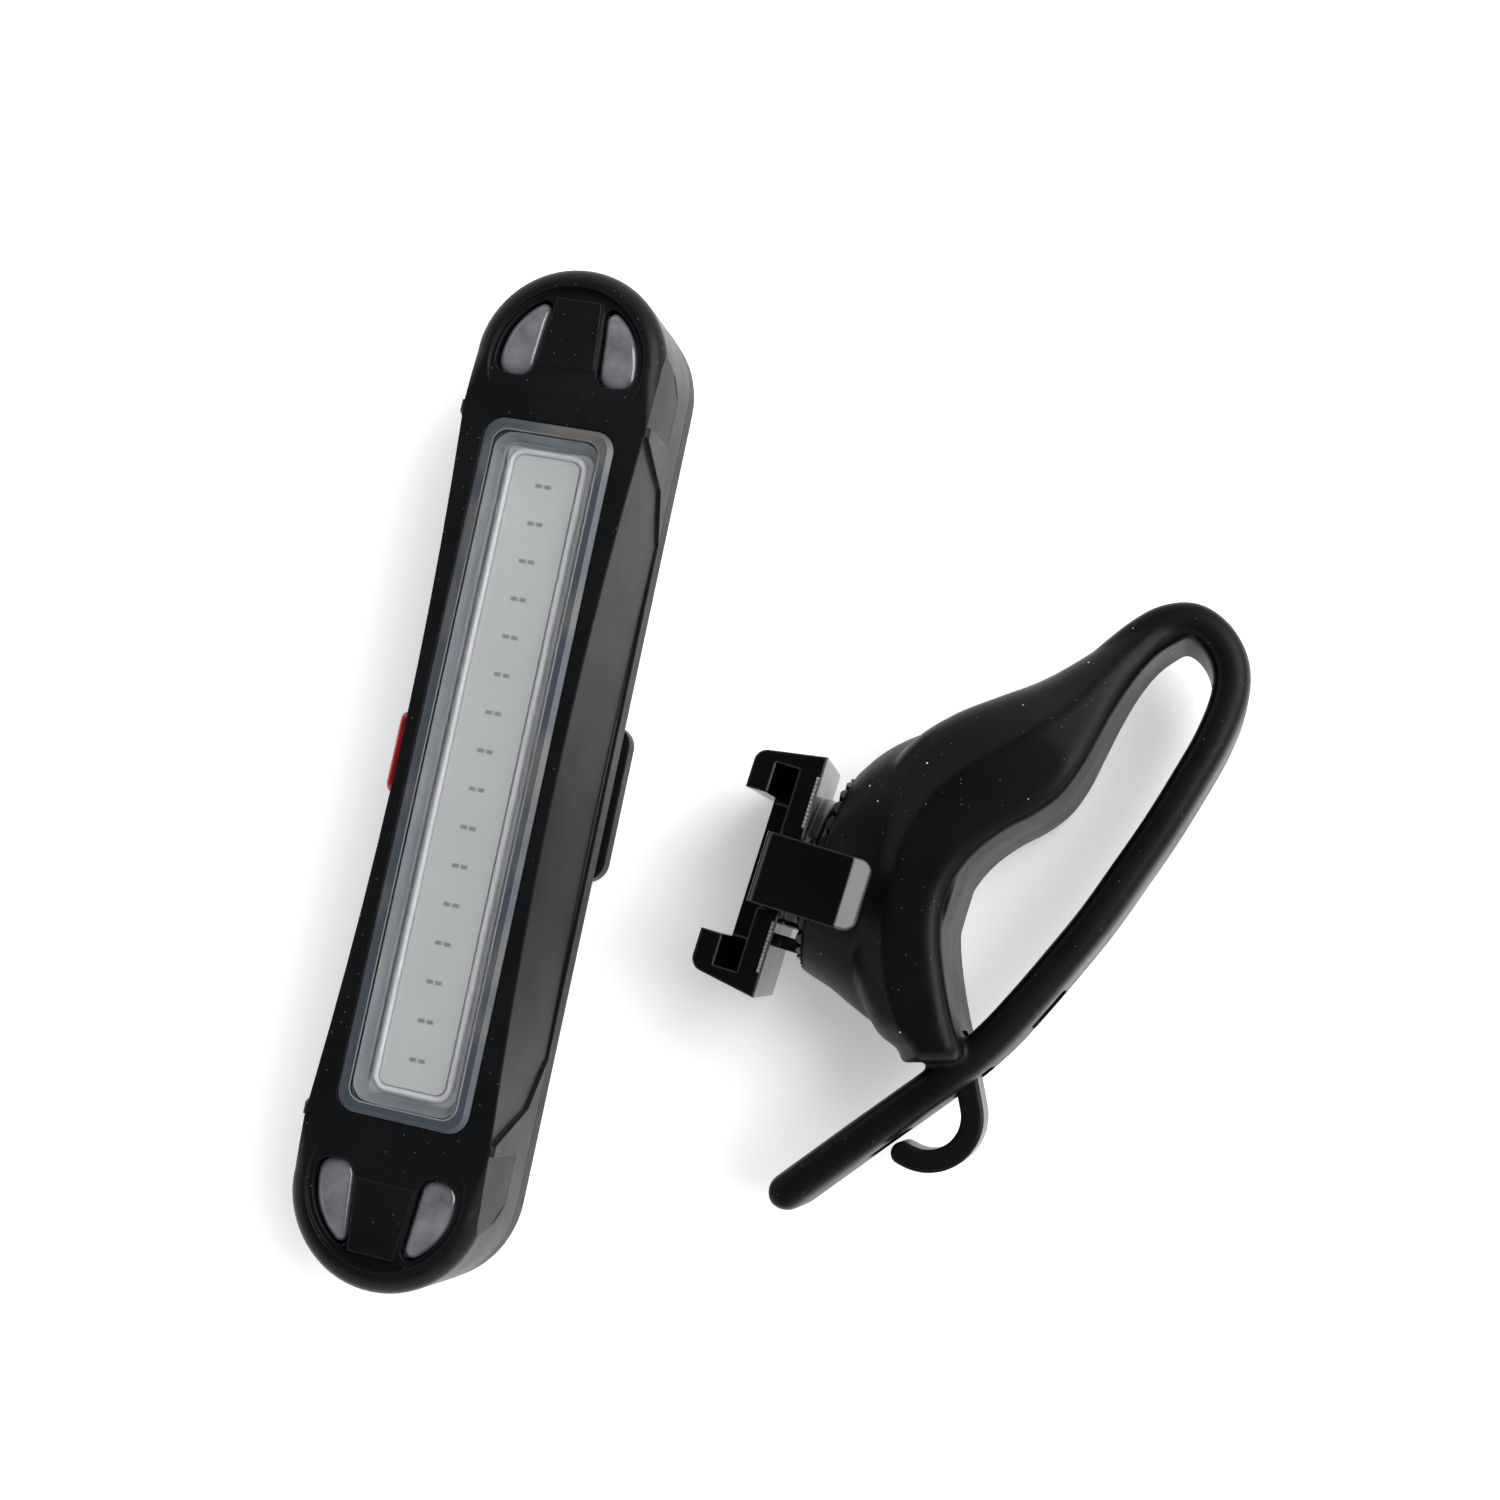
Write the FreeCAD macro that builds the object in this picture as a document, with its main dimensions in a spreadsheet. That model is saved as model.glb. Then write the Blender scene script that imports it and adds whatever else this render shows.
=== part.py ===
"""Bicycle tail light: a long lamp with a strip of LEDs, and the rubber strap mount that it clips into.

The origin is the middle of the back of the lamp's mount rail. +Z points out of the lens, +Y runs
along the lamp to its top end, and +X points from the lamp to the strap mount beside it.
"""
import FreeCAD, Part
import math
import os
import re

import Sketcher
from FreeCAD import Placement, Rotation, Vector

doc = FreeCAD.newDocument("tail_light")

# The driving sizes, in millimetres and degrees.
SIZES = {
    # lamp shell
    "lamp_length": 95.0,
    "lamp_width": 18.4,
    "front_depth": 10.8,
    "rear_depth": 3.0,
    "gasket_thickness": 0.2,
    "gasket_band": 1.35,
    "shell_wall": 1.3,
    "face_wall": 1.4,
    "back_wall": 1.2,
    "edge_round": 0.5,
    "end_round": 1.7,
    "end_round_inset": 14.1,
    "back_round": 1.0,
    "end_wall": 2.1,
    # flanks
    "waist_width": 15.2,
    "waist_back_width": 17.6,
    "waist_bow": 2.6,
    "waist_back_bow": 0.6,
    "panel_back_inset": 22.7,
    "panel_knee_inset": 18.2,
    "panel_front_inset": 15.0,
    "panel_knee_height": 3.0,
    "facet_inset": 14.1,
    "facet_back_length": 4.6,
    "facet_front_length": 9.6,
    "facet_height": 7.0,
    "facet_depth": 0.35,
    # raised rings round the two ends
    "ring_radius": 7.4,
    "ring_inset": 9.4,
    "ring_tilt": 0.7,
    "ring_start_inset": 12.3,
    "pad_low_inset": 9.7,
    "pad_high_inset": 3.3,
    "pad_low_width": 5.6,
    "pad_high_width": 4.4,
    # lens
    "lens_width": 12.6,
    "lens_inset": 15.2,
    "lens_corner": 1.9,
    "lens_proud": 0.4,
    "lens_bevel": 0.45,
    "lens_roof": 1.2,
    "lens_wall": 1.1,
    "lens_hollow_corner": 1.0,
    "lens_flange": 0.5,
    "lens_flange_thickness": 0.9,
    "fit_gap": 0.05,
    # end windows
    "window_radius": 6.8,
    "window_inside": 3.2,
    "window_low_inset": 11.1,
    "window_slant": 5.0,
    "window_sunk": 0.15,
    "window_thickness": 2.0,
    "window_corner": 1.3,
    "window_tip": 0.7,
    # strip of LEDs
    "cob_width": 8.4,
    "cob_end_gap": 1.5,
    "cob_corner": 0.4,
    "cob_thickness": 1.0,
    "cob_depth": 2.2,
    "dam_width": 7.8,
    "dam_end_gap": 0.7,
    "dam_corner": 1.6,
    "dam_bead": 0.7,
    "dam_height": 0.7,
    "fill_height": 0.55,
    "chip_margin": 3.4,
    "chip_length": 1.5,
    "chip_width": 0.6,
    "chip_height": 0.25,
    "chip_count": 16,
    "tape_thickness": 0.3,
    # circuit board
    "board_width": 13.4,
    "board_end_gap": 0.9,
    "board_end_flat": 0.2,
    "notch_gap": 1.0,
    "post_gap": 0.2,
    "board_thickness": 1.0,
    "end_led_size": 2.0,
    "end_led_height": 0.8,
    "end_led_spread": 9.4,
    "end_led_inset": 7.5,
    "chip_body_length": 5.0,
    "chip_body_width": 4.0,
    "chip_body_height": 1.4,
    "chip_body_place": -16.0,
    # battery
    "cell_width": 10.6,
    "cell_thickness": 6.4,
    "cell_top_gap": 0.5,
    "cell_low_gap": 0.7,
    "cell_side": 1.2,
    "cell_corner": 1.5,
    "foam_end_gap": 4.7,
    "foam_side_gap": 1.0,
    "foam_shift": 2.0,
    "lead_radius": 0.5,
    "lead_spread": 2.4,
    "lead_bend": 2.4,
    "lead_reach": 6.0,
    "jumper_radius": 0.35,
    "jumper_reach": 1.2,
    # power button
    "button_length": 7.6,
    "button_height": 4.0,
    "button_proud": 1.2,
    "button_place": 0.4,
    "button_travel": 0.3,
    "button_gap": 0.15,
    "button_flange": 0.8,
    "button_flange_thickness": 0.5,
    "button_level": 13.2,
    "button_corner": 0.9,
    "button_edge": 0.4,
    "switch_length": 4.6,
    "switch_depth": 2.4,
    "switch_height": 3.4,
    "plunger_length": 2.2,
    "plunger_reach": 0.6,
    "plunger_height": 1.4,
    "plunger_drop": 1.3,
    "seal_thickness": 0.4,
    # charge socket and its cover
    "socket_width": 7.6,
    "socket_height": 2.9,
    "socket_wall": 0.3,
    "socket_floor": 1.2,
    "socket_inset": 16.5,
    "tongue_thick": 0.7,
    "tongue_margin": 1.2,
    "tongue_sunk": 0.8,
    "tongue_shift": 0.3,
    "port_width": 8.4,
    "port_height": 3.7,
    "port_boss": 2.6,
    "port_rim": 1.2,
    "cover_width": 11.0,
    "cover_length": 12.0,
    "cover_thickness": 1.0,
    "cover_gap": 0.2,
    "cover_plug_depth": 1.3,
    "cover_plug_gap": 0.4,
    "cover_plug_corner": 0.6,
    "cover_corner": 2.0,
    "tether_length": 3.4,
    "tether_width": 5.0,
    "tether_peg": 0.8,
    # screws
    "screw_inset": 6.5,
    "screw_fit": 0.03,
    "screw_radius": 0.8,
    "screw_head_radius": 1.5,
    "screw_head": 0.7,
    "screw_length": 6.5,
    "post_radius": 1.7,
    # mount rail on the back
    "rail_flange_width": 18.2,
    "rail_flange": 1.9,
    "rail_neck_width": 12.4,
    "rail_neck": 2.1,
    "rail_length": 15.4,
    "rail_corner": 2.0,
    # strap mount beside the lamp
    "mount_x": 30.2,
    "mount_y": -3.9,
    "mount_turn": 5.8,
    "mount_middle": 10.0,
    "swivel_rise": 1.7,
    # clip
    "clip_drop": 0.1,
    "clip_width": 22.0,
    "clip_draft": 1.0,
    "clip_lean": 1.2,
    "clip_height": 15.0,
    "clip_plate": 2.1,
    "clip_slot": 2.2,
    "clip_slot_width": 18.6,
    "clip_lip": 2.0,
    "clip_opening": 13.0,
    "clip_stop": 1.4,
    "clip_round": 1.2,
    "clip_rim": 0.9,
    "clip_rim_radius": 6.1,
    "hub_radius": 5.2,
    "hub_end_gap": 0.2,
    "pawl_size": 1.2,
    "pawl_gap": 0.15,
    # release tab
    "tongue_width": 6.2,
    "tongue_slit": 0.3,
    "tongue_thickness": 1.8,
    "tab_rise": 2.95,
    "tab_reach": 7.6,
    "tab_thickness": 1.5,
    "tab_nose": 1.7,
    "tab_corner": 1.1,
    "tab_round": 0.8,
    "catch_reach": 0.5,
    "catch_height": 1.6,
    "catch_gap": 0.15,
    # swivel
    "swivel_screw_radius": 1.5,
    "swivel_head_radius": 2.7,
    "swivel_head": 1.1,
    "swivel_socket": 0.9,
    "swivel_washer": 0.4,
    "washer_inset": 0.1,
    "swivel_length": 8.0,
    "running_gap": 0.06,
    "detent_radius": 8.6,
    "detent_inside": 6.4,
    "detent_front": 2.2,
    "detent_thickness": 1.6,
    "detent_bump": 0.6,
    "detent_tooth": 0.8,
    "detent_bite": 0.5,
    "detent_count": 28,
    # hook core
    "core_radius": 5.0,
    "core_length": 4.6,
    "core_thickness": 2.0,
    "core_width": 5.0,
    # saddle
    "saddle_width": 20.0,
    "saddle_front": 2.2,
    "flare_radius": 9.3,
    "flare_near": 5.4,
    "flare_near_low": 8.6,
    "flare_near_high": 15.2,
    "flare_near_sunk": 1.0,
    "flare_near_corner": 7.6,
    "flare_middle": 9.8,
    "flare_low": 10.3,
    "flare_high": 17.8,
    "flare_sunk": 0.7,
    "flare_end": 14.0,
    "flare_end_low": 12.0,
    "flare_end_high": 18.6,
    "flare_end_sunk": 1.6,
    "flare_corner": 6.4,
    "flare_end_corner": 4.0,
    "recess_radius": 12.5,
    "recess_across": 13.5,
    "recess_along": 0.6,
    "recess_high": 10.8,
    "recess_low": -8.6,
    "root_width": 15.0,
    "taper_start": 16.0,
    "taper_end": 28.0,
    # strap
    "strap_width": 12.0,
    "strap_thickness": 3.2,
    "strap_edge": 0.7,
    "slot_length": 4.4,
    "slot_clearance": 0.3,
    "slot_pitch": 9.0,
    "slot_count": 3,
}

# Outlines in the mount's own plan: how far across and along each corner lies, and its bend radius.
PATHS = {
    "strap": ((15.0, 20.7, 0.0), (35.3, 43.9, 5.05), (28.1, 9.0, 90.0), (20.6, -8.8, 40.0),
              (7.0, -26.8, 0.0)),
    "hook": ((8.0, -2.0, 0.0), (15.5, -8.5, 6.0), (19.1, -12.0, 3.0), (24.1, -21.6, 3.9),
             (15.8, -20.15, 0.0)),
    "mould": ((13.6, -11.6, 0.0), (8.7, 4.5, 0.0), (14.2, 16.3, 0.0)),
    "neck": ((18.9, 19.8, 4.0), (21.6, 28.6, 1.0), (24.0, 30.9, 0.6), (24.9, 28.9, 1.0), (22.9, 22.5, 30.0),
             (21.2, 15.0, 10.0)),
    "horn": ((16.2, -10.9, 0.0),),
    "root": ((8.5, 12.0, 0.0), (9.6, 17.6, 0.0), (12.3, 20.4, 0.0), (18.4, 25.8, 0.0), (21.6, 28.6, 0.0),
             (21.0, 24.0, 0.0), (15.0, 12.0, 0.0)),
}
for path, corners in PATHS.items():
    for number, corner in enumerate(corners, start=1):
        for word, size in zip(("across", "along", "bend"), corner):
            SIZES[f"{path}_{word}_{number}"] = size


sheet = doc.addObject("Spreadsheet::Sheet", "Sizes")
for row, (name, size) in enumerate(SIZES.items(), start=1):
    sheet.set(f"A{row}", name)
    sheet.set(f"B{row}", str(size))
    sheet.setAlias(f"B{row}", name)
doc.recompute()


def bound(text):
    """The expression with each size name pointing at the sheet."""
    return re.sub(r"[a-z]\w*", lambda word: "Sizes." + word[0] if word[0] in SIZES else word[0], text)


def worth(text):
    """What an expression of size names comes to."""
    return float(sheet.evalExpression(bound(text)))


def bind(thing, **properties):
    """Binds properties to expressions of size names; two underscores stand for a dot."""
    for name, text in properties.items():
        thing.setExpression(name.replace("__", "."), bound(text))
    return thing


def place(thing, x="0", y="0", z="0"):
    """Puts a thing where three expressions say."""
    return bind(thing, Placement__Base__x=x, Placement__Base__y=y, Placement__Base__z=z)


def box(name, along_x, along_y, along_z, x="0", y="0", z="0"):
    """A block centred on x and y, standing on z."""
    block = doc.addObject("Part::Box", name)
    bind(block, Length=along_x, Width=along_y, Height=along_z)
    return place(block, f"{x} - ({along_x}) / 2", f"{y} - ({along_y}) / 2", z)


def disc(name, radius, height, x="0", y="0", z="0"):
    """An upright cylinder standing on z."""
    round_bar = doc.addObject("Part::Cylinder", name)
    bind(round_bar, Radius=radius, Height=height)
    return place(round_bar, x, y, z)


def fuse(name, *things):
    """Several solids as one."""
    whole = doc.addObject("Part::MultiFuse", name)
    whole.Shapes = list(things)
    whole.Refine = True
    return whole


def cut(name, base, *tools):
    """A solid with others taken out of it."""
    whole = doc.addObject("Part::Cut", name)
    whole.Base = base
    whole.Tool = tools[0] if len(tools) == 1 else fuse(name + "_tools", *tools)
    return whole


def common(name, *things):
    """What several solids share."""
    whole = doc.addObject("Part::MultiCommon", name)
    whole.Shapes = list(things)
    return whole


def new_body(name):
    """An empty body to build features in."""
    return doc.addObject("PartDesign::Body", name)


def plane_of(body, role):
    """One of a body's own origin planes."""
    return next(plane for plane in body.Origin.OriginFeatures if plane.Role == role)


def new_sketch(body, name, height="0", role="XY_Plane"):
    """An empty sketch on an origin plane, raised by an expression."""
    sketch = body.newObject("Sketcher::SketchObject", name)
    sketch.AttachmentSupport = [(plane_of(body, role), "")]
    sketch.MapMode = "FlatFace"
    return bind(sketch, AttachmentOffset__Base__z=height)


def limit(sketch, kind, *arguments, text):
    """A dimension held by an expression."""
    number = sketch.addConstraint(Sketcher.Constraint(kind, *arguments, worth(text)))
    sketch.setExpression(f"Constraints[{number}]", bound(text))


def stadium(body, name, width, length, height="0"):
    """A sketch of two straight sides with a half circle at each end, long along Y."""
    sketch = new_sketch(body, name, height)
    radius = worth(f"({width}) / 2")
    run = worth(f"({length}) / 2") - radius
    sides = [Part.LineSegment(Vector(s * radius, -run * s, 0), Vector(s * radius, run * s, 0))
             for s in (1, -1)]
    caps = [
        Part.ArcOfCircle(Part.Circle(Vector(0, run, 0), Vector(0, 0, 1), radius), 0, math.pi),
        Part.ArcOfCircle(Part.Circle(Vector(0, -run, 0), Vector(0, 0, 1), radius), math.pi, 2 * math.pi),
    ]
    sketch.addGeometry([sides[0], caps[0], sides[1], caps[1]], False)
    for first in range(4):
        sketch.addConstraint(Sketcher.Constraint("Tangent", first, 2, (first + 1) % 4, 1))
    for side in (0, 2):
        sketch.addConstraint(Sketcher.Constraint("Vertical", side))
    limit(sketch, "DistanceX", -1, 1, 0, 1, text=f"({width}) / 2")
    limit(sketch, "DistanceX", 2, 1, -1, 1, text=f"({width}) / 2")
    limit(sketch, "DistanceY", -1, 1, 1, 3, text=f"({length} - ({width})) / 2")
    limit(sketch, "DistanceY", 3, 3, -1, 1, text=f"({length} - ({width})) / 2")
    return sketch


def polygon(body, name, corners, height="0", role="XY_Plane"):
    """A sketch through corners that are each a pair of expressions."""
    sketch = new_sketch(body, name, height, role)
    spots = [Vector(worth(across), worth(along), 0) for across, along in corners]
    for number, spot in enumerate(spots):
        sketch.addGeometry(Part.LineSegment(spot, spots[(number + 1) % len(spots)]), False)
    for number, spot in enumerate(spots):
        sketch.addConstraint(Sketcher.Constraint("Coincident", number, 2, (number + 1) % len(spots), 1))
        across, along = corners[number]
        for kind, size, text in (("DistanceX", spot.x, across), ("DistanceY", spot.y, along)):
            if size < 0:
                limit(sketch, kind, number, 1, -1, 1, text=f"-({text})")
            else:
                limit(sketch, kind, -1, 1, number, 1, text=text)
    return sketch


def rounded(body, name, width, length, corner, height="0"):
    """A sketch of a rectangle with round corners, long along Y."""
    sketch = new_sketch(body, name, height)
    radius = worth(corner)
    reach = [worth(f"({width}) / 2"), worth(f"({length}) / 2")]
    for turn in range(4):
        angle = turn * math.pi / 2
        spin = Rotation(Vector(0, 0, 1), math.degrees(angle))
        out, along = reach[turn % 2], reach[(turn + 1) % 2] - radius
        side = Part.LineSegment(spin.multVec(Vector(out, -along, 0)), spin.multVec(Vector(out, along, 0)))
        middle = Part.Circle(spin.multVec(Vector(out - radius, along, 0)), Vector(0, 0, 1), radius)
        sketch.addGeometry(side, False)
        sketch.addGeometry(Part.ArcOfCircle(middle, angle, angle + math.pi / 2), False)
    for first in range(8):
        sketch.addConstraint(Sketcher.Constraint("Tangent", first, 2, (first + 1) % 8, 1))
    for side, direction in ((0, "Vertical"), (2, "Horizontal"), (4, "Vertical"), (6, "Horizontal")):
        sketch.addConstraint(Sketcher.Constraint(direction, side))
    for arc in (3, 5, 7):
        sketch.addConstraint(Sketcher.Constraint("Equal", 1, arc))
    limit(sketch, "Radius", 1, text=corner)
    limit(sketch, "DistanceX", -1, 1, 0, 1, text=f"({width}) / 2")
    limit(sketch, "DistanceX", 4, 1, -1, 1, text=f"({width}) / 2")
    limit(sketch, "DistanceY", -1, 1, 2, 1, text=f"({length}) / 2")
    limit(sketch, "DistanceY", 6, 1, -1, 1, text=f"({length}) / 2")
    return sketch


def pad(body, sketch, height):
    """Raises a sketch along +Z."""
    feature = body.newObject("PartDesign::Pad", sketch.Name + "_pad")
    feature.Profile = sketch
    return bind(feature, Length=height)


def pocket(body, sketch, height):
    """Sinks a sketch into the body along +Z."""
    feature = body.newObject("PartDesign::Pocket", sketch.Name + "_pocket")
    feature.Profile = sketch
    feature.Reversed = True
    return bind(feature, Length=height)


def flat_at(level):
    """A test for edges that lie flat at a height."""
    height = worth(level)
    return lambda edge: abs(edge.BoundBox.ZMin - height) < 1e-4 and abs(edge.BoundBox.ZMax - height) < 1e-4


def soften(body, feature, kind, wanted, amount):
    """Rounds (Fillet) or bevels (Chamfer) those edges of the last feature that a test picks."""
    doc.recompute()
    names = [f"Edge{number}" for number, edge in enumerate(feature.Shape.Edges, start=1) if wanted(edge)]
    dressed = body.newObject("PartDesign::" + kind, feature.Name + "_" + kind.lower())
    dressed.Base = (feature, names)
    return bind(dressed, **{"Radius" if kind == "Fillet" else "Size": amount})


def wedge(name, side, front_x, back_x, low_front, high_front, low_back, high_back, z, height):
    """A flank cutter: its inner face leans from back_x to front_x, and its ends lean too."""
    block = doc.addObject("Part::Wedge", name)
    block.Placement = Placement(Vector(), Rotation(Vector(1, 0, 0), 90))
    outside = f"{side} * lamp_width"
    inner = {"back": f"{side} * ({back_x})", "front": f"{side} * ({front_x})"}
    low, high = ("min", "max") if side > 0 else ("max", "min")
    bind(block, **{"X" + low: inner["back"], "X" + high: outside})
    bind(block, **{"X2" + low: inner["front"], "X2" + high: outside})
    bind(block, Ymin="0", Ymax=height)
    bind(block, Zmin=f"-({high_back})", Zmax=f"-({low_back})")
    bind(block, Z2min=f"-({high_front})", Z2max=f"-({low_front})")
    return bind(block, Placement__Base__z=z)


def finish(thing, label):
    """Names a finished sub-part."""
    thing.Label = label
    subparts.append(thing)
    return thing


subparts = []

# Heights above the back of the rail.
BACK = "(rail_flange + rail_neck)"
SEAM = f"({BACK} + rear_depth)"
FRONT_SEAM = f"({SEAM} + gasket_thickness)"
FACE = f"({FRONT_SEAM} + front_depth)"
COB_TOP = f"({FACE} - cob_depth)"
COB_BACK = f"({COB_TOP} - cob_thickness)"
BOARD_TOP = f"({COB_BACK} - 2 * fit_gap - tape_thickness)"
BOARD_BACK = f"({BOARD_TOP} - board_thickness)"
CAVITY_WIDTH = "(waist_width - shell_wall)"
CAVITY_LENGTH = "(lamp_length - 2 * end_wall)"

# Places along the lamp, from its middle.
LENS_LENGTH = "(lamp_length - 2 * lens_inset)"
RING_CENTRE = "(lamp_length / 2 - ring_inset)"
RING_START = "(lamp_length / 2 - ring_start_inset)"
SCREW_PLACE = "(lamp_length / 2 - screw_inset)"
SOCKET_PLACE = "(socket_inset - lamp_length / 2)"

# Front housing: an open-backed tub of moulded ABS with the lens opening in its face.
front = new_body("front_tub")
tub = pad(front, stadium(front, "front_outline", "lamp_width", "lamp_length", FRONT_SEAM), "front_depth")
soften(front, tub, "Fillet", flat_at(FACE), "edge_round")
front_hollow = stadium(front, "front_hollow", CAVITY_WIDTH, CAVITY_LENGTH, FRONT_SEAM)
pocket(front, front_hollow, "front_depth - face_wall")
flange_seat = rounded(
    front, "flange_seat", "lens_width + 2 * lens_flange + 2 * fit_gap",
    f"{LENS_LENGTH} + 2 * lens_flange + 2 * fit_gap", "lens_corner + lens_flange", FRONT_SEAM,
)
pocket(front, flange_seat, f"{FACE} - {FRONT_SEAM} - face_wall + lens_flange_thickness / 2")
lens_hole = rounded(
    front, "lens_hole", "lens_width + 2 * fit_gap", f"{LENS_LENGTH} + 2 * fit_gap", "lens_corner", FRONT_SEAM
)
pocket(front, lens_hole, "front_depth")

PANEL_BACK = "(lamp_length / 2 - panel_back_inset)"
PANEL_KNEE = "(lamp_length / 2 - panel_knee_inset)"
PANEL_FRONT = "(lamp_length / 2 - panel_front_inset)"
FACET_START = "(lamp_length / 2 - facet_inset)"


def tool(name, shape):
    """Keeps a cutter's shape made from the sheet's sizes."""
    thing = doc.addObject("Part::Feature", name)
    thing.Shape = shape
    return thing


def bowed(side):
    """A flank cutter whose inner face runs between two arcs that bow out towards the lamp's ends."""
    wires = []
    reach, outside = worth("lamp_length / 2"), side * worth("lamp_width")
    levels = ((FRONT_SEAM, "waist_back_width", "waist_back_bow"), (FACE, "waist_width", "waist_bow"))
    for level, width, bow in levels:
        height, middle = worth(level), worth(width) / 2
        far_out = side * (middle + worth(bow))
        start, top = Vector(far_out, -reach, height), Vector(far_out, reach, height)
        far_top, far_start = Vector(outside, reach, height), Vector(outside, -reach, height)
        arc = Part.Arc(start, Vector(side * middle, 0, height), top).toShape()
        lines = [Part.makeLine(a, b) for a, b in ((top, far_top), (far_top, far_start), (far_start, start))]
        wires.append(Part.Wire([arc] + lines))
    return Part.makeLoft(wires, True, True)


def rim_profile(side, radius, y):
    """What a round takes off the face's upper edge, in a plane across the lamp."""
    edge, level, clear = worth("lamp_width / 2"), worth(FACE), worth("edge_round")
    inner, foot, share = edge - radius, level - radius, radius * math.sqrt(0.5)
    spots = [Vector(side * x, y, z) for x, z in (
        (inner, level), (inner + share, foot + share), (edge, foot), (edge + clear, foot),
        (edge + clear, level + clear), (inner, level + clear))]
    arc = Part.Arc(*spots[:3]).toShape()
    lines = [Part.makeLine(a, b) for a, b in zip(spots[2:], spots[3:] + spots[:1])]
    return Part.Wire([arc] + lines)


def rim(end):
    """The cutter that rounds one end of the face: full along the half circle, dwindling along the flanks."""
    middle = end * worth("(lamp_length - lamp_width) / 2")
    start = end * worth("lamp_length / 2 - end_round_inset")
    full, least = worth("end_round"), 0.9 * worth("edge_round")
    half_ring = Part.Face(rim_profile(1, full, middle))
    half_ring = half_ring.revolve(Vector(0, middle, 0), Vector(0, 0, 1), end * 180)
    sides = [Part.makeLoft([rim_profile(side, full, middle), rim_profile(side, least, start)], True, True)
             for side in (1, -1)]
    return half_ring.fuse(sides)


cutters = [tool("top_rim", rim(1)), tool("bottom_rim", rim(-1))]
UNDER_PANEL = "(waist_width / 2 - shell_wall / 3)"
for side, side_name in ((1, "right"), (-1, "left")):
    panel_back = wedge(
        f"{side_name}_panel_back", side, UNDER_PANEL, UNDER_PANEL,
        f"-{PANEL_KNEE}", PANEL_KNEE, f"-{PANEL_BACK}", PANEL_BACK,
        FRONT_SEAM, "panel_knee_height",
    )
    panel_front = wedge(
        f"{side_name}_panel_front", side, UNDER_PANEL, UNDER_PANEL,
        f"-{PANEL_FRONT}", PANEL_FRONT, f"-{PANEL_KNEE}", PANEL_KNEE,
        f"{FRONT_SEAM} + panel_knee_height", "front_depth - panel_knee_height",
    )
    cutters.append(common(f"{side_name}_panel", fuse(f"{side_name}_panel_outline", panel_back, panel_front),
                          tool(f"{side_name}_bow", bowed(side))))
    for end, end_name in ((1, "top"), (-1, "bottom")):
        far_back, far_front = f"({FACET_START} + facet_back_length)", f"({FACET_START} + facet_front_length)"
        spans = [FACET_START, far_front, FACET_START, far_back]
        if end < 0:
            spans = [f"-{far_front}", f"-{FACET_START}", f"-{far_back}", f"-{FACET_START}"]
        cutters.append(wedge(
            f"{side_name}_{end_name}_facet", side, "lamp_width / 2 - facet_depth", "lamp_width / 2 - 0.01",
            *spans, f"{FACE} - facet_height", "facet_height",
        ))



def round_corners(name, thing, grow):
    """Rounds the upright edges of a window: the tip near the lamp's end less than the other two."""
    doc.recompute()
    upright = [(abs(edge.CenterOfMass.y), number) for number, edge in enumerate(thing.Shape.Edges, start=1)
               if edge.BoundBox.ZLength > 1 and edge.BoundBox.XLength + edge.BoundBox.YLength < 1e-4]
    tip = max(upright)[1]
    rounds = {number: worth("window_tip" if number == tip else "window_corner") + worth(grow)
              for _, number in upright}
    softened = doc.addObject("Part::Fillet", name)
    softened.Base = thing
    softened.Edges = [(number, radius, radius) for number, radius in rounds.items()]
    return softened


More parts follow.
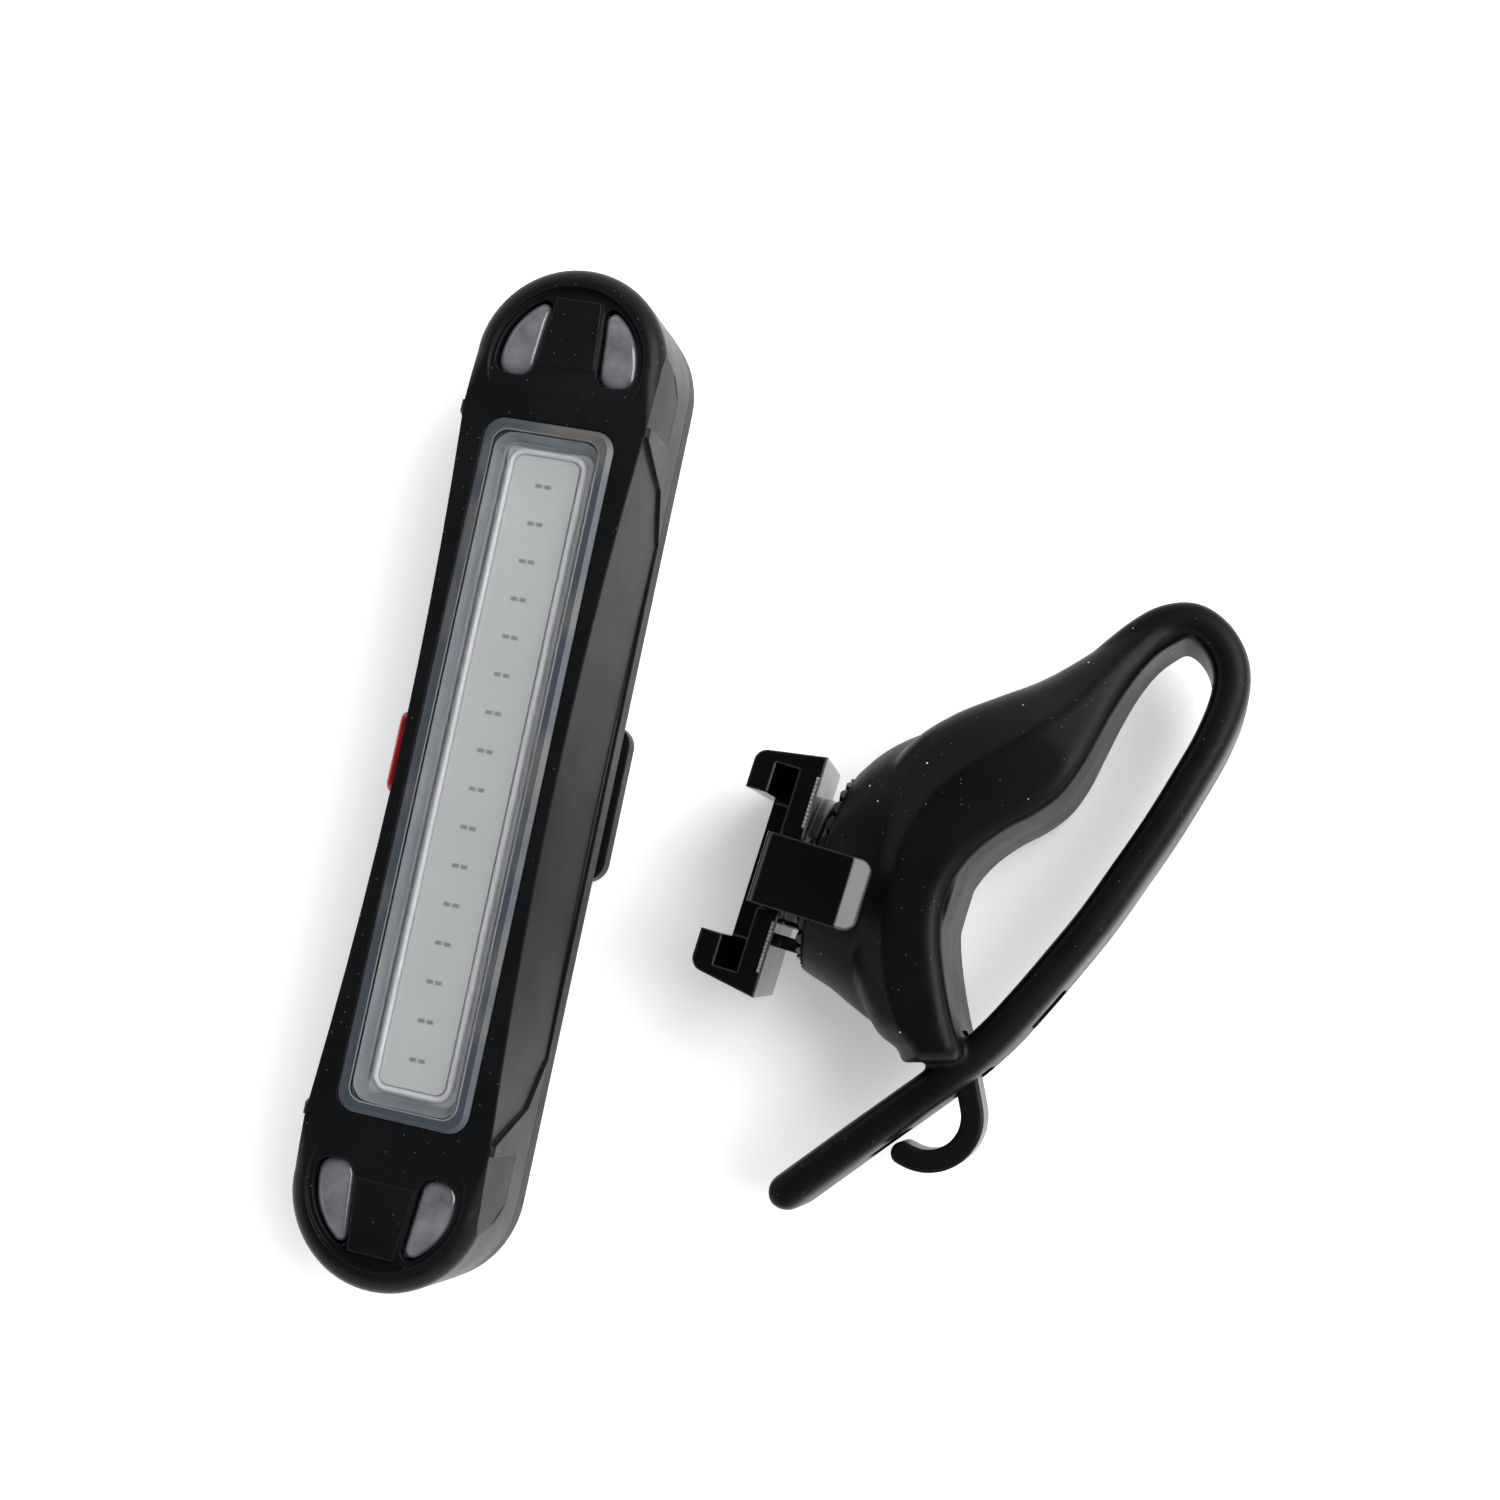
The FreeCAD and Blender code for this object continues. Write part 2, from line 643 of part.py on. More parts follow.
# Each end's face leans back inside its raised ring, and holds a raised pad and two window holes.
ring_cutters, window_holes, window_pairs, pads = [], [], [], []
for end, end_name in ((1, "top"), (-1, "bottom")):
    well = disc(f"{end_name}_well", "ring_radius", "face_wall", "0", f"{end} * {RING_CENTRE}",
                f"{FACE} - face_wall")
    lean = doc.addObject("Part::Wedge", f"{end_name}_lean")
    bind(lean, Xmin="-lamp_width", Xmax="lamp_width", X2min="-lamp_width", X2max="lamp_width")
    bind(lean, Ymin="0", Ymax=f"{RING_CENTRE} + ring_radius - {RING_START}")
    bind(lean, Zmin="0", Zmax="0.01", Z2min="-ring_tilt", Z2max="0.01")
    if end < 0:
        lean.Placement = Placement(Vector(), Rotation(Vector(0, 0, 1), 180))
    place(lean, "0", f"{end} * {RING_START}", FACE)
    ring_cutters.append(common(f"{end_name}_ring_cut", well, lean))

    pad_body = new_body(f"{end_name}_pad_body")
    low, high = (f"{end} * (lamp_length / 2 - {inset})" for inset in ("pad_low_inset", "pad_high_inset"))
    outline = polygon(pad_body, f"{end_name}_pad_outline", (
        ("pad_low_width / 2", low), ("pad_high_width / 2", high),
        ("-pad_high_width / 2", high), ("-pad_low_width / 2", low),
    ), f"{FACE} - face_wall")
    pad(pad_body, outline, "face_wall")
    pads.append(pad_body)

    for grow, kind in (("0", "window"), ("fit_gap", "hole")):
        lower = f"{FACE} - ring_tilt / 2 - window_sunk - window_thickness"
        height = "window_thickness" if kind == "window" else "window_thickness + ring_tilt + 1"
        halves = []
        for side, side_name in ((1, "right"), (-1, "left")):
            label = f"{end_name}_{side_name}_{kind}"
            round_part = disc(label + "_disc", f"window_radius + {grow}", height, "0",
                              f"{end} * {RING_CENTRE}", lower)
            gate = doc.addObject("Part::Box", label + "_gate")
            bind(gate, Length="lamp_width", Width="lamp_width", Height=height)
            quarter = {(1, 1): 0, (-1, 1): 90, (-1, -1): 180, (1, -1): 270}[side, end]
            gate.Placement = Placement(Vector(), Rotation(Vector(0, 0, 1), quarter))
            lean_by = "window_slant" if side * end > 0 else "-window_slant"
            bind(gate, Placement__Rotation__Angle=f"{quarter} + {lean_by}")
            place(gate, f"{side} * (window_inside - {grow})",
                  f"{end} * (lamp_length / 2 - window_low_inset - {grow})", lower)
            blank = common(label + "_blank", round_part, gate)
            halves.append(round_corners(label + "_rounded", blank, grow))
        if kind == "window":
            window_pairs.append(halves)
        else:
            window_holes.extend(halves)

shell = cut("front_cut", front, *cutters, *ring_cutters)
padded_shell = fuse("front_padded", shell, *pads)

button_hole = box(
    "button_hole", "lamp_width", "button_length + 2 * button_gap", "button_height + 2 * button_gap",
    "-lamp_width / 2", "button_place", "button_level - button_height / 2 - button_gap",
)

# The screw posts hang from the roof under the two raised pads.
screw_places = (SCREW_PLACE, f"-{SCREW_PLACE}")
post_foot = f"{BACK} + back_wall + fit_gap"
posts = [
    disc(f"post_{number}", "post_radius", f"{FACE} - face_wall / 2 - ({post_foot})", "0", spot, post_foot)
    for number, spot in enumerate(screw_places)
]
bores = [
    disc(f"post_bore_{number}", "screw_radius + screw_fit", "screw_length", "0", spot, f"{BACK} + screw_head")
    for number, spot in enumerate(screw_places)
]
posted_shell = fuse("front_posted", padded_shell, *posts)
finish(cut("front_housing_solid", posted_shell, *window_holes, button_hole, *bores), "front_housing")

# Rear housing: the moulded back shell with the T-shaped rail, the charge port and the screw holes.
rear = new_body("rear_tub")
rear_outline = stadium(rear, "rear_outline", "lamp_width - 2 * fit_gap", "lamp_length - 2 * fit_gap", BACK)
back_plate = pad(rear, rear_outline, "rear_depth")
soften(rear, back_plate, "Fillet", flat_at(BACK), "back_round")
pocket(rear, stadium(rear, "rear_hollow", "lamp_width - 2 * shell_wall - 2 * fit_gap",
                     "lamp_length - 2 * shell_wall - 2 * fit_gap", f"{BACK} + back_wall"), "rear_depth")

rail = new_body("rail_body")
rail_flange = rounded(rail, "rail_flange_outline", "rail_flange_width", "rail_length", "rail_corner")
pad(rail, rail_flange, "rail_flange")
rail_neck = rounded(rail, "rail_neck_outline", "rail_neck_width", "rail_length", "rail_corner", "rail_flange")
pad(rail, rail_neck, "rail_neck + back_wall / 2")
port_block = box("port_block", "cover_width + 2 * cover_gap + 2 * port_rim",
                 "cover_length + tether_length + 2 * cover_gap + 2 * port_rim", "port_boss", "0",
                 f"{SOCKET_PLACE} + tether_length / 2", BACK)
cover_seat = new_body("cover_seat_body")
HINGE_Y = f"({SOCKET_PLACE} + cover_length / 2)"
seat_outline = rounded(cover_seat, "cover_seat_outline", "cover_width + 2 * cover_gap",
                       "cover_length + 2 * cover_gap", "cover_corner + cover_gap", f"{BACK} - 1")
pad(cover_seat, seat_outline, "1 + cover_thickness + fit_gap")
place(cover_seat, "0", SOCKET_PLACE, "0")
tether_seat = box("tether_seat", "tether_width + 2 * cover_gap", "tether_length + 2 * cover_gap",
                  "1 + cover_thickness + fit_gap", "0", f"{HINGE_Y} + tether_length / 2", f"{BACK} - 1")
port_hole = box("port_hole", "port_width", "port_height", "port_boss + 2", "0", SOCKET_PLACE, f"{BACK} - 1")
peg_hole = disc("peg_hole", "tether_peg + fit_gap", "back_wall + 2", "0",
                f"{HINGE_Y} + tether_length / 2", f"{BACK} - 1")
screw_ways = []
for number, spot in enumerate(screw_places):
    screw_ways.append(disc(f"screw_way_{number}", "screw_radius + screw_fit", "rear_depth", "0", spot, BACK))
    screw_ways.append(disc(f"screw_sink_{number}", "screw_head_radius + fit_gap", "screw_head + 1", "0", spot,
                           f"{BACK} - 1"))
rear_blank = fuse("rear_blank", rear, rail, port_block)
finish(cut("rear_housing_solid", rear_blank, cover_seat, tether_seat, port_hole, peg_hole, *screw_ways),
       "rear_housing")

# Gasket: a flat silicone ring on the seam between the shells.
gasket = new_body("gasket_body")
gasket_outline = stadium(gasket, "gasket_outline", "lamp_width - 2 * facet_depth",
                         "lamp_length - 2 * facet_depth", SEAM)
pad(gasket, gasket_outline, "gasket_thickness")
gasket_hollow = stadium(gasket, "gasket_hollow", "lamp_width - 2 * facet_depth - 2 * gasket_band",
                        "lamp_length - 2 * end_wall", SEAM)
pocket(gasket, gasket_hollow, "gasket_thickness")
finish(gasket, "housing_gasket")

# Screws: two small pan heads driven from the back.
screws = []
for number, spot in enumerate(screw_places):
    head = disc(f"screw_head_{number}", "screw_head_radius", "screw_head - fit_gap", "0", spot, BACK)
    shank = disc(f"screw_shank_{number}", "screw_radius", "screw_length", "0", spot,
                 f"{BACK} + screw_head / 2")
    screws.append(fuse(f"screw_{number}", head, shank))
pair = doc.addObject("Part::Compound", "screw_pair")
pair.Links = screws
finish(pair, "housing_screws")

# Lens: a clear bar with bevelled top edges, hollow behind, held under the face by its flange.
FLANGE_TOP = f"({FACE} - face_wall + lens_flange_thickness / 2 - fit_gap)"
LENS_BACK = f"({FLANGE_TOP} - lens_flange_thickness)"
lens = new_body("lens_body")
lens_flange = rounded(lens, "lens_flange_outline", "lens_width + 2 * lens_flange",
                      f"{LENS_LENGTH} + 2 * lens_flange", "lens_corner + lens_flange", LENS_BACK)
pad(lens, lens_flange, "lens_flange_thickness")
bar = pad(lens, rounded(lens, "lens_bar_outline", "lens_width", LENS_LENGTH, "lens_corner", LENS_BACK),
          f"{FACE} + lens_proud - {LENS_BACK}")
soften(lens, bar, "Chamfer", flat_at(f"{FACE} + lens_proud"), "lens_bevel")
pocket(lens, rounded(lens, "lens_hollow", "lens_width - 2 * lens_wall", f"{LENS_LENGTH} - 2 * lens_wall",
                     "lens_hollow_corner", LENS_BACK), f"{FACE} + lens_proud - lens_roof - {LENS_BACK}")
finish(lens, "window_lens")

# End windows: clear D-shaped light pipes, two at each end.
for end_name, halves in zip(("top", "bottom"), window_pairs):
    panes = doc.addObject("Part::Compound", f"{end_name}_window_pair")
    panes.Links = halves
    finish(panes, f"{end_name}_end_windows")

# LED strip: a white metal-core board, its silicone dam, the pale fill and the chips under it.
COB_LENGTH = f"({LENS_LENGTH} - 2 * cob_end_gap)"
DAM_LENGTH = f"({COB_LENGTH} - 2 * dam_end_gap)"
cob = new_body("cob_body")
pad(cob, rounded(cob, "cob_outline", "cob_width", COB_LENGTH, "cob_corner", COB_BACK), "cob_thickness")
finish(cob, "led_strip_board")
dam = new_body("dam_body")
DAM_BASE = f"({COB_TOP} + fit_gap / 2)"
pad(dam, rounded(dam, "dam_outline", "dam_width", DAM_LENGTH, "dam_corner", DAM_BASE), "dam_height")
pocket(dam, rounded(dam, "dam_hollow", "dam_width - 2 * dam_bead", f"{DAM_LENGTH} - 2 * dam_bead",
                    "dam_corner - dam_bead", DAM_BASE), "dam_height")
finish(dam, "silicone_dam")
chips, chip_beds = [], []
for number in range(int(SIZES["chip_count"])):
    spot = f"({number} / (chip_count - 1) - 0.5) * ({DAM_LENGTH} - 2 * chip_margin)"
    chips.append(box(f"chip_{number + 1}", "chip_length", "chip_width", "chip_height", "0", spot, DAM_BASE))
    chip_beds.append(box(f"chip_bed_{number + 1}", "chip_length + 2 * fit_gap", "chip_width + 2 * fit_gap",
                         "chip_height + fit_gap", "0", spot, DAM_BASE))
chip_row = doc.addObject("Part::Compound", "chip_row")
chip_row.Links = chips
finish(chip_row, "led_chips")
fill = new_body("fill_body")
pad(fill, rounded(fill, "fill_outline", "dam_width - 2 * dam_bead - 2 * fit_gap",
                  f"{DAM_LENGTH} - 2 * dam_bead - 2 * fit_gap", "dam_corner - dam_bead - fit_gap", DAM_BASE),
    "fill_height")
finish(cut("fill_solid", fill, *chip_beds), "phosphor_fill")
tape = box("tape_strip", "cob_width", COB_LENGTH, "tape_thickness", "0", "0", f"{BOARD_TOP} + fit_gap")
finish(tape, "thermal_tape")

# Main board: notched at the button, drilled for the screw posts.
main_board = new_body("main_board_body")
pad(main_board, rounded(main_board, "board_outline", "board_width", f"{CAVITY_LENGTH} - 2 * board_end_gap",
                        "board_width / 2 - board_end_flat", BOARD_BACK), "board_thickness")
BUTTON_SIDE = f"({CAVITY_WIDTH} / 2 - seal_thickness - 2 * fit_gap)"
SWITCH_FACE = f"({BUTTON_SIDE} - button_flange_thickness - button_travel - fit_gap - plunger_reach)"
notch = box("board_notch", "board_width", "button_length + 2 * (button_flange + notch_gap)",
            "board_thickness + 1", f"-({SWITCH_FACE} + board_width / 2)", "button_place",
            f"{BOARD_BACK} - 0.5")
board_holes = [
    disc(f"board_hole_{number}", "post_radius + post_gap", "board_thickness + 1", "0", spot,
         f"{BOARD_BACK} - 0.5")
    for number, spot in enumerate(screw_places)
]
finish(cut("main_board_solid", main_board, notch, *board_holes), "main_board")

leds = []
for number, (side, end) in enumerate(((1, 1), (1, -1), (-1, 1), (-1, -1))):
    leds.append(box(f"end_led_{number}", "end_led_size", "end_led_size", "end_led_height",
                    f"{side} * end_led_spread / 2", f"{end} * (lamp_length / 2 - end_led_inset)",
                    f"{BOARD_TOP} + fit_gap / 2"))
led_group = doc.addObject("Part::Compound", "end_led_group")
led_group.Links = leds
finish(led_group, "end_leds")
finish(box("control_chip_solid", "chip_body_width", "chip_body_length", "chip_body_height", "0",
           "chip_body_place", f"{BOARD_BACK} - fit_gap / 2 - chip_body_height"), "control_chip")

# Power switch, its red key and the seal round the key.
switch_case = box("switch_case", "switch_depth", "switch_length", "switch_height",
                  f"-({SWITCH_FACE} - switch_depth / 2)", "button_place",
                  f"{BOARD_BACK} - fit_gap / 2 - switch_height")
plunger = box("plunger", "plunger_reach * 2", "plunger_length", "plunger_height", f"-{SWITCH_FACE}",
              "button_place", f"{BOARD_BACK} - plunger_drop - plunger_height / 2")
finish(fuse("side_switch_solid", switch_case, plunger), "side_switch")
FLANK = ("((waist_back_width - (waist_back_width - waist_width)"
         f" * (button_level - {FRONT_SEAM}) / front_depth) / 2)")
key = new_body("key_body")
KEY_LENGTH = f"({FLANK} + button_proud - {BUTTON_SIDE} + button_flange_thickness / 2)"
key_cap = pad(key, rounded(key, "key_outline", "button_height", "button_length", "button_corner"), KEY_LENGTH)
soften(key, key_cap, "Fillet", flat_at(KEY_LENGTH), "button_edge")
pad(key, rounded(key, "key_flange_outline", "button_height + 2 * button_flange",
                 "button_length + 2 * button_flange", "button_corner + button_flange",
                 "-button_flange_thickness / 2"), "button_flange_thickness")
key.Placement = Placement(Vector(), Rotation(Vector(0, 1, 0), -90))
place(key, f"-({BUTTON_SIDE} - button_flange_thickness / 2)", "button_place", "button_level")
finish(key, "power_button")
seal_block = box("seal_block", "seal_thickness", "button_length + 2 * button_flange",
                 "button_height + 2 * button_flange",
                 f"-({CAVITY_WIDTH} / 2 - fit_gap - seal_thickness / 2)", "button_place",
                 "button_level - button_height / 2 - button_flange")
seal_hole = box("seal_hole", "seal_thickness + 1", "button_length + 2 * button_gap",
                "button_height + 2 * button_gap", f"-({CAVITY_WIDTH} / 2)", "button_place",
                "button_level - button_height / 2 - button_gap")
finish(cut("seal_solid", seal_block, seal_hole), "button_seal")

# Battery: a pouch cell on the back wall, held down by foam, wired to the board.
cell = new_body("cell_body")
CELL_BASE = f"({BACK} + back_wall + fit_gap)"
CELL_TOP = f"({SCREW_PLACE} - post_radius - cell_top_gap)"
CELL_LOW = "(button_place + switch_length / 2 + cell_low_gap)"
CELL_MIDDLE = f"(({CELL_TOP} + {CELL_LOW}) / 2)"
pad(cell, rounded(cell, "cell_outline", "cell_width", f"{CELL_TOP} - {CELL_LOW}", "cell_corner", CELL_BASE),
    "cell_thickness")
place(cell, "cell_side", CELL_MIDDLE, "0")
finish(cell, "battery_cell")
foam_base = f"{CELL_BASE} + cell_thickness + fit_gap"
finish(box("foam_block", "cell_width - 2 * foam_side_gap", f"{CELL_TOP} - {CELL_LOW} - 2 * foam_end_gap",
           f"{BOARD_BACK} - fit_gap - ({foam_base})", "cell_side", f"{CELL_MIDDLE} + foam_shift", foam_base),
       "battery_foam")

# Charge socket: a folded steel shell with its tongue, standing on the board and open to the back.
socket_mouth = f"({BACK} + port_boss + fit_gap)"
socket_height_full = f"{BOARD_BACK} - fit_gap / 2 - {socket_mouth}"
socket_shell = box("socket_shell", "socket_width", "socket_height", socket_height_full, "0", SOCKET_PLACE,
                   socket_mouth)
socket_hollow = box("socket_hollow", "socket_width - 2 * socket_wall", "socket_height - 2 * socket_wall",
                    f"{socket_height_full} - socket_floor", "0", SOCKET_PLACE, socket_mouth)
socket_tongue = box("socket_tongue", "socket_width - 2 * tongue_margin", "tongue_thick",
                    f"{socket_height_full} - tongue_sunk", "0", f"{SOCKET_PLACE} + tongue_shift",
                    f"{socket_mouth} + tongue_sunk")
finish(fuse("socket_solid", cut("socket_can", socket_shell, socket_hollow), socket_tongue), "charge_socket")

# Port cover: a rubber flap with a plug, joined by a thin living hinge to its anchor.
cover = new_body("cover_body")
cover_outline = rounded(cover, "cover_outline", "cover_width", "cover_length", "cover_corner", BACK)
pad(cover, cover_outline, "cover_thickness")
cover_plug = rounded(cover, "cover_plug_outline", "port_width - 2 * cover_plug_gap",
                     "port_height - 2 * cover_plug_gap", "cover_plug_corner", f"{BACK} + cover_thickness / 2")
pad(cover, cover_plug, "cover_thickness / 2 + cover_plug_depth")
place(cover, "0", SOCKET_PLACE, "0")
finish(cover, "port_cover")
tether_block = box("tether_block", "tether_width", "tether_length - cover_gap", "cover_thickness", "0",
                   f"{HINGE_Y} + tether_length / 2 + cover_gap", BACK)
tether_plug = disc("tether_plug", "tether_peg", "cover_thickness + back_wall - cover_thickness / 2", "0",
                   f"{HINGE_Y} + tether_length / 2", f"{BACK} + cover_thickness / 2")
finish(fuse("tether_solid", tether_block, tether_plug), "cover_anchor")

# Leads: two wires from the cell up to the board, and two short jumpers from the LED strip down to it.
def bent_line(spots, bends):
    """The edges of a path through points, with a tangent arc of the given radius at each inner point."""
    edges, start = [], spots[0]
    for before, corner, after, radius in zip(spots, spots[1:], spots[2:], bends[1:]):
        back, ahead = (before - corner).normalize(), (after - corner).normalize()
        half_turn = (math.pi - back.getAngle(ahead)) / 2
        reach = radius * math.tan(half_turn)
        enter, leave = corner + back * reach, corner + ahead * reach
        inward = (back + ahead).normalize()
        middle = corner + inward * (radius / math.cos(half_turn) - radius)
        edges += [Part.LineSegment(start, enter).toShape(), Part.Arc(enter, middle, leave).toShape()]
        start = leave
    return edges + [Part.LineSegment(start, spots[-1]).toShape()]


def tube(path, radius):
    """A round bar along a path."""
    spine = Part.Wire(path)
    start, way = path[0].Vertexes[0].Point, path[0].tangentAt(path[0].FirstParameter)
    ring = Part.Wire(Part.Circle(start, way, radius).toShape())
    return spine.makePipe(Part.Face(ring))


def hold(name, shape, label):
    """Keeps a shape made from the sheet's sizes as a sub-part."""
    thing = doc.addObject("Part::Feature", name)
    thing.Shape = shape
    return finish(thing, label)


cell_end = worth(f"{CELL_LOW} - fit_gap")
lead_level = worth(f"{CELL_BASE} + cell_thickness / 2")
lead_bend = worth("lead_bend")
wires = []
for side in (1, -1):
    lead_x = worth(f"cell_side + {side} * lead_spread / 2")
    turn_y = cell_end - worth("lead_reach")
    spots = [Vector(lead_x, cell_end, lead_level), Vector(lead_x, turn_y, lead_level),
             Vector(lead_x, turn_y, worth(f"{BOARD_BACK} - fit_gap"))]
    wires.append(tube(bent_line(spots, (0, lead_bend)), worth("lead_radius")))
hold("battery_wires", Part.makeCompound(wires), "battery_leads")
jumpers = []
for side in (1, -1):
    lead_x = worth(f"{side} * lead_spread / 2")
    strip_end = worth(f"-{COB_LENGTH} / 2 - fit_gap")
    turn_y = strip_end - worth("jumper_reach")
    strip_level = worth(f"({COB_TOP} + {COB_BACK}) / 2")
    spots = [Vector(lead_x, strip_end, strip_level), Vector(lead_x, turn_y, strip_level),
             Vector(lead_x, turn_y, worth(f"{BOARD_TOP} + fit_gap"))]
    jumpers.append(tube(bent_line(spots, (0, worth("2 * jumper_radius"))), worth("jumper_radius")))
hold("strip_jumpers", Part.makeCompound(jumpers), "strip_leads")

# The mount lies beside the lamp, turned a little, and its pieces are built in its own plan: X runs
# along the swivel axis to the strap, Y along the clip, and Z stands as in the lamp.


def mounted(thing):
    """Sets a piece of the mount beside the lamp."""
    thing.Placement = Placement(Vector(), Rotation(Vector(0, 0, -1), 1))
    return bind(thing, Placement__Base__x="mount_x", Placement__Base__y="mount_y",
                Placement__Rotation__Angle="mount_turn")


def spindle(name, radius, length, x):
    """A cylinder along the swivel axis."""
    bar_along = doc.addObject("Part::Cylinder", name)
    bar_along.Placement = Placement(Vector(), Rotation(Vector(0, 1, 0), 90))
    bind(bar_along, Radius=radius, Height=length)
    return place(bar_along, x, "swivel_rise", "mount_middle")


# Clip: a moulded channel for the lamp's rail, closed at its lower end, on a round hub.
CLIP_BASE = "(mount_middle - clip_height / 2)"
CLIP_DEPTH = "(clip_lip + clip_slot + clip_plate)"
HALF_CLIP = "clip_width / 2"
clip_body = new_body("clip_body")
clip_block = pad(clip_body, polygon(clip_body, "clip_outline", (
    (f"-{CLIP_DEPTH}", f"-{HALF_CLIP} + clip_draft"), ("0", f"-{HALF_CLIP}"), ("0", HALF_CLIP),
    (f"-{CLIP_DEPTH}", f"{HALF_CLIP} - clip_draft"),
), CLIP_BASE), "clip_height")
lip_x = worth(f"-{CLIP_DEPTH}")
soften(clip_body, clip_block, "Fillet",
       lambda edge: abs(edge.BoundBox.XMax - lip_x) < 1e-4 and edge.BoundBox.ZLength > 1, "clip_round")
bind(clip_body, Placement__Base__y="-clip_drop")
lean_body = new_body("clip_lean_body")
lean_cut = pad(lean_body, polygon(lean_body, "clip_lean_outline", (
    ("0", f"{CLIP_BASE} + clip_height"), ("clip_lean", f"{CLIP_BASE} + clip_height"),
    ("clip_lean", CLIP_BASE), ("-clip_lean", CLIP_BASE),
), "0", "XZ_Plane"), "2 * clip_width")
lean_cut.Midplane = True
slot_start = f"{CLIP_BASE} + clip_stop"
clip_slot = box("clip_slot", "clip_slot", "clip_slot_width", "clip_height", "-clip_plate - clip_slot / 2",
                "-clip_drop", slot_start)
clip_mouth = box("clip_mouth", "clip_lip + 2", "clip_opening", "clip_height",
                 "-clip_plate - clip_slot - clip_lip / 2", "-clip_drop", slot_start)
tongue_notch = box("tongue_notch", "clip_plate + clip_rim + 1", "tongue_width + 2 * tongue_slit",
                   "tongue_thickness / 2 + fit_gap + 1", "(1 + clip_rim - clip_plate) / 2", "-clip_drop",
                   f"{CLIP_BASE} + clip_height - tongue_thickness / 2 - fit_gap")
hub = spindle("clip_hub", "hub_radius", "clip_lean + detent_front + detent_thickness - hub_end_gap",
              "-clip_lean")
hub_rim = spindle("clip_hub_rim", "clip_rim_radius", "clip_lean + clip_rim", "-clip_lean")
pawl = box("clip_pawl", "clip_lean + detent_front - detent_bump - pawl_gap", "pawl_size", "pawl_size",
           "(detent_front - detent_bump - pawl_gap - clip_lean) / 2",
           "swivel_rise - (detent_radius + detent_inside) / 2", "mount_middle - pawl_size / 2")
head_sunk = "swivel_head + swivel_washer + running_gap"
clip_bore = spindle("clip_bore", "swivel_screw_radius + running_gap",
                    "detent_front + detent_thickness + clip_plate + 2", "-clip_plate - 1")
head_seat = spindle("head_seat", "swivel_head_radius + running_gap", f"{head_sunk} + 1", "-clip_plate - 1")
clip_block_leaned = cut("clip_block_leaned", clip_body, lean_body)
clip_blank = fuse("clip_blank", clip_block_leaned, hub, hub_rim, pawl)
clip_solid = cut("clip_solid", clip_blank, clip_slot, clip_mouth, tongue_notch, clip_bore, head_seat)
finish(mounted(clip_solid), "lamp_clip")

# Release tab: a springy tongue that rises from the clip's plate, with a catch over the rail's end.
PLATE_MIDDLE = "-clip_plate / 2"
TONGUE_FRONT = f"{PLATE_MIDDLE} - tongue_thickness / 2"
TONGUE_BACK = f"{PLATE_MIDDLE} + tongue_thickness / 2"
HINGE_LEVEL = f"{CLIP_BASE} + clip_height"
CATCH_LEVEL = f"({CLIP_BASE} + clip_stop + rail_length + catch_gap)"
TAB_TOP = f"({CATCH_LEVEL} + catch_height + tab_rise)"
tab_body = new_body("tab_body")
tab_plate = pad(tab_body, polygon(tab_body, "tab_outline", (
    (TONGUE_FRONT, HINGE_LEVEL), (TONGUE_BACK, HINGE_LEVEL), (TONGUE_BACK, f"{TAB_TOP} - tab_thickness"),
    ("tab_reach - tab_nose / 2", f"{TAB_TOP} - tab_thickness"),
    ("tab_reach", f"{TAB_TOP} - tab_thickness / 2"),
    ("tab_reach - tab_nose", TAB_TOP), (TONGUE_FRONT, TAB_TOP),
    (TONGUE_FRONT, f"{CATCH_LEVEL} + catch_height"), (f"{TONGUE_FRONT} - catch_reach", CATCH_LEVEL),
    (TONGUE_FRONT, CATCH_LEVEL),
), "clip_drop", "XZ_Plane"), "tongue_width")
tab_plate.Midplane = True
reach_x, front_x, top_z = worth("tab_reach - tab_nose"), worth(TONGUE_FRONT), worth(TAB_TOP)
soften(tab_body, tab_plate, "Fillet",
       lambda edge: edge.BoundBox.YLength > 1 and abs(edge.BoundBox.ZMax - top_z) < 1e-4
       and min(abs(edge.BoundBox.XMax - reach_x), abs(edge.BoundBox.XMax - front_x)) < 1e-4
       and edge.BoundBox.XLength < 1e-4, "tab_round")
tab_root = doc.addObject("Part::Cylinder", "tab_root")
tab_root.Placement = Placement(Vector(), Rotation(Vector(1, 0, 0), 90))
bind(tab_root, Radius="tongue_thickness / 2", Height="tongue_width")
place(tab_root, PLATE_MIDDLE, "tongue_width / 2 - clip_drop", HINGE_LEVEL)
tab_plan = new_body("tab_plan_body")
tab_plan_outline = rounded(tab_plan, "tab_plan_outline", "2 * (tab_reach + clip_plate)", "tongue_width",
                           "tab_corner", CLIP_BASE)
pad(tab_plan, tab_plan_outline, "2 * clip_height")
place(tab_plan, "-clip_plate", "-clip_drop", "0")
finish(mounted(common("tab_rounded", fuse("tab_solid", tab_body, tab_root), tab_plan)), "release_tab")

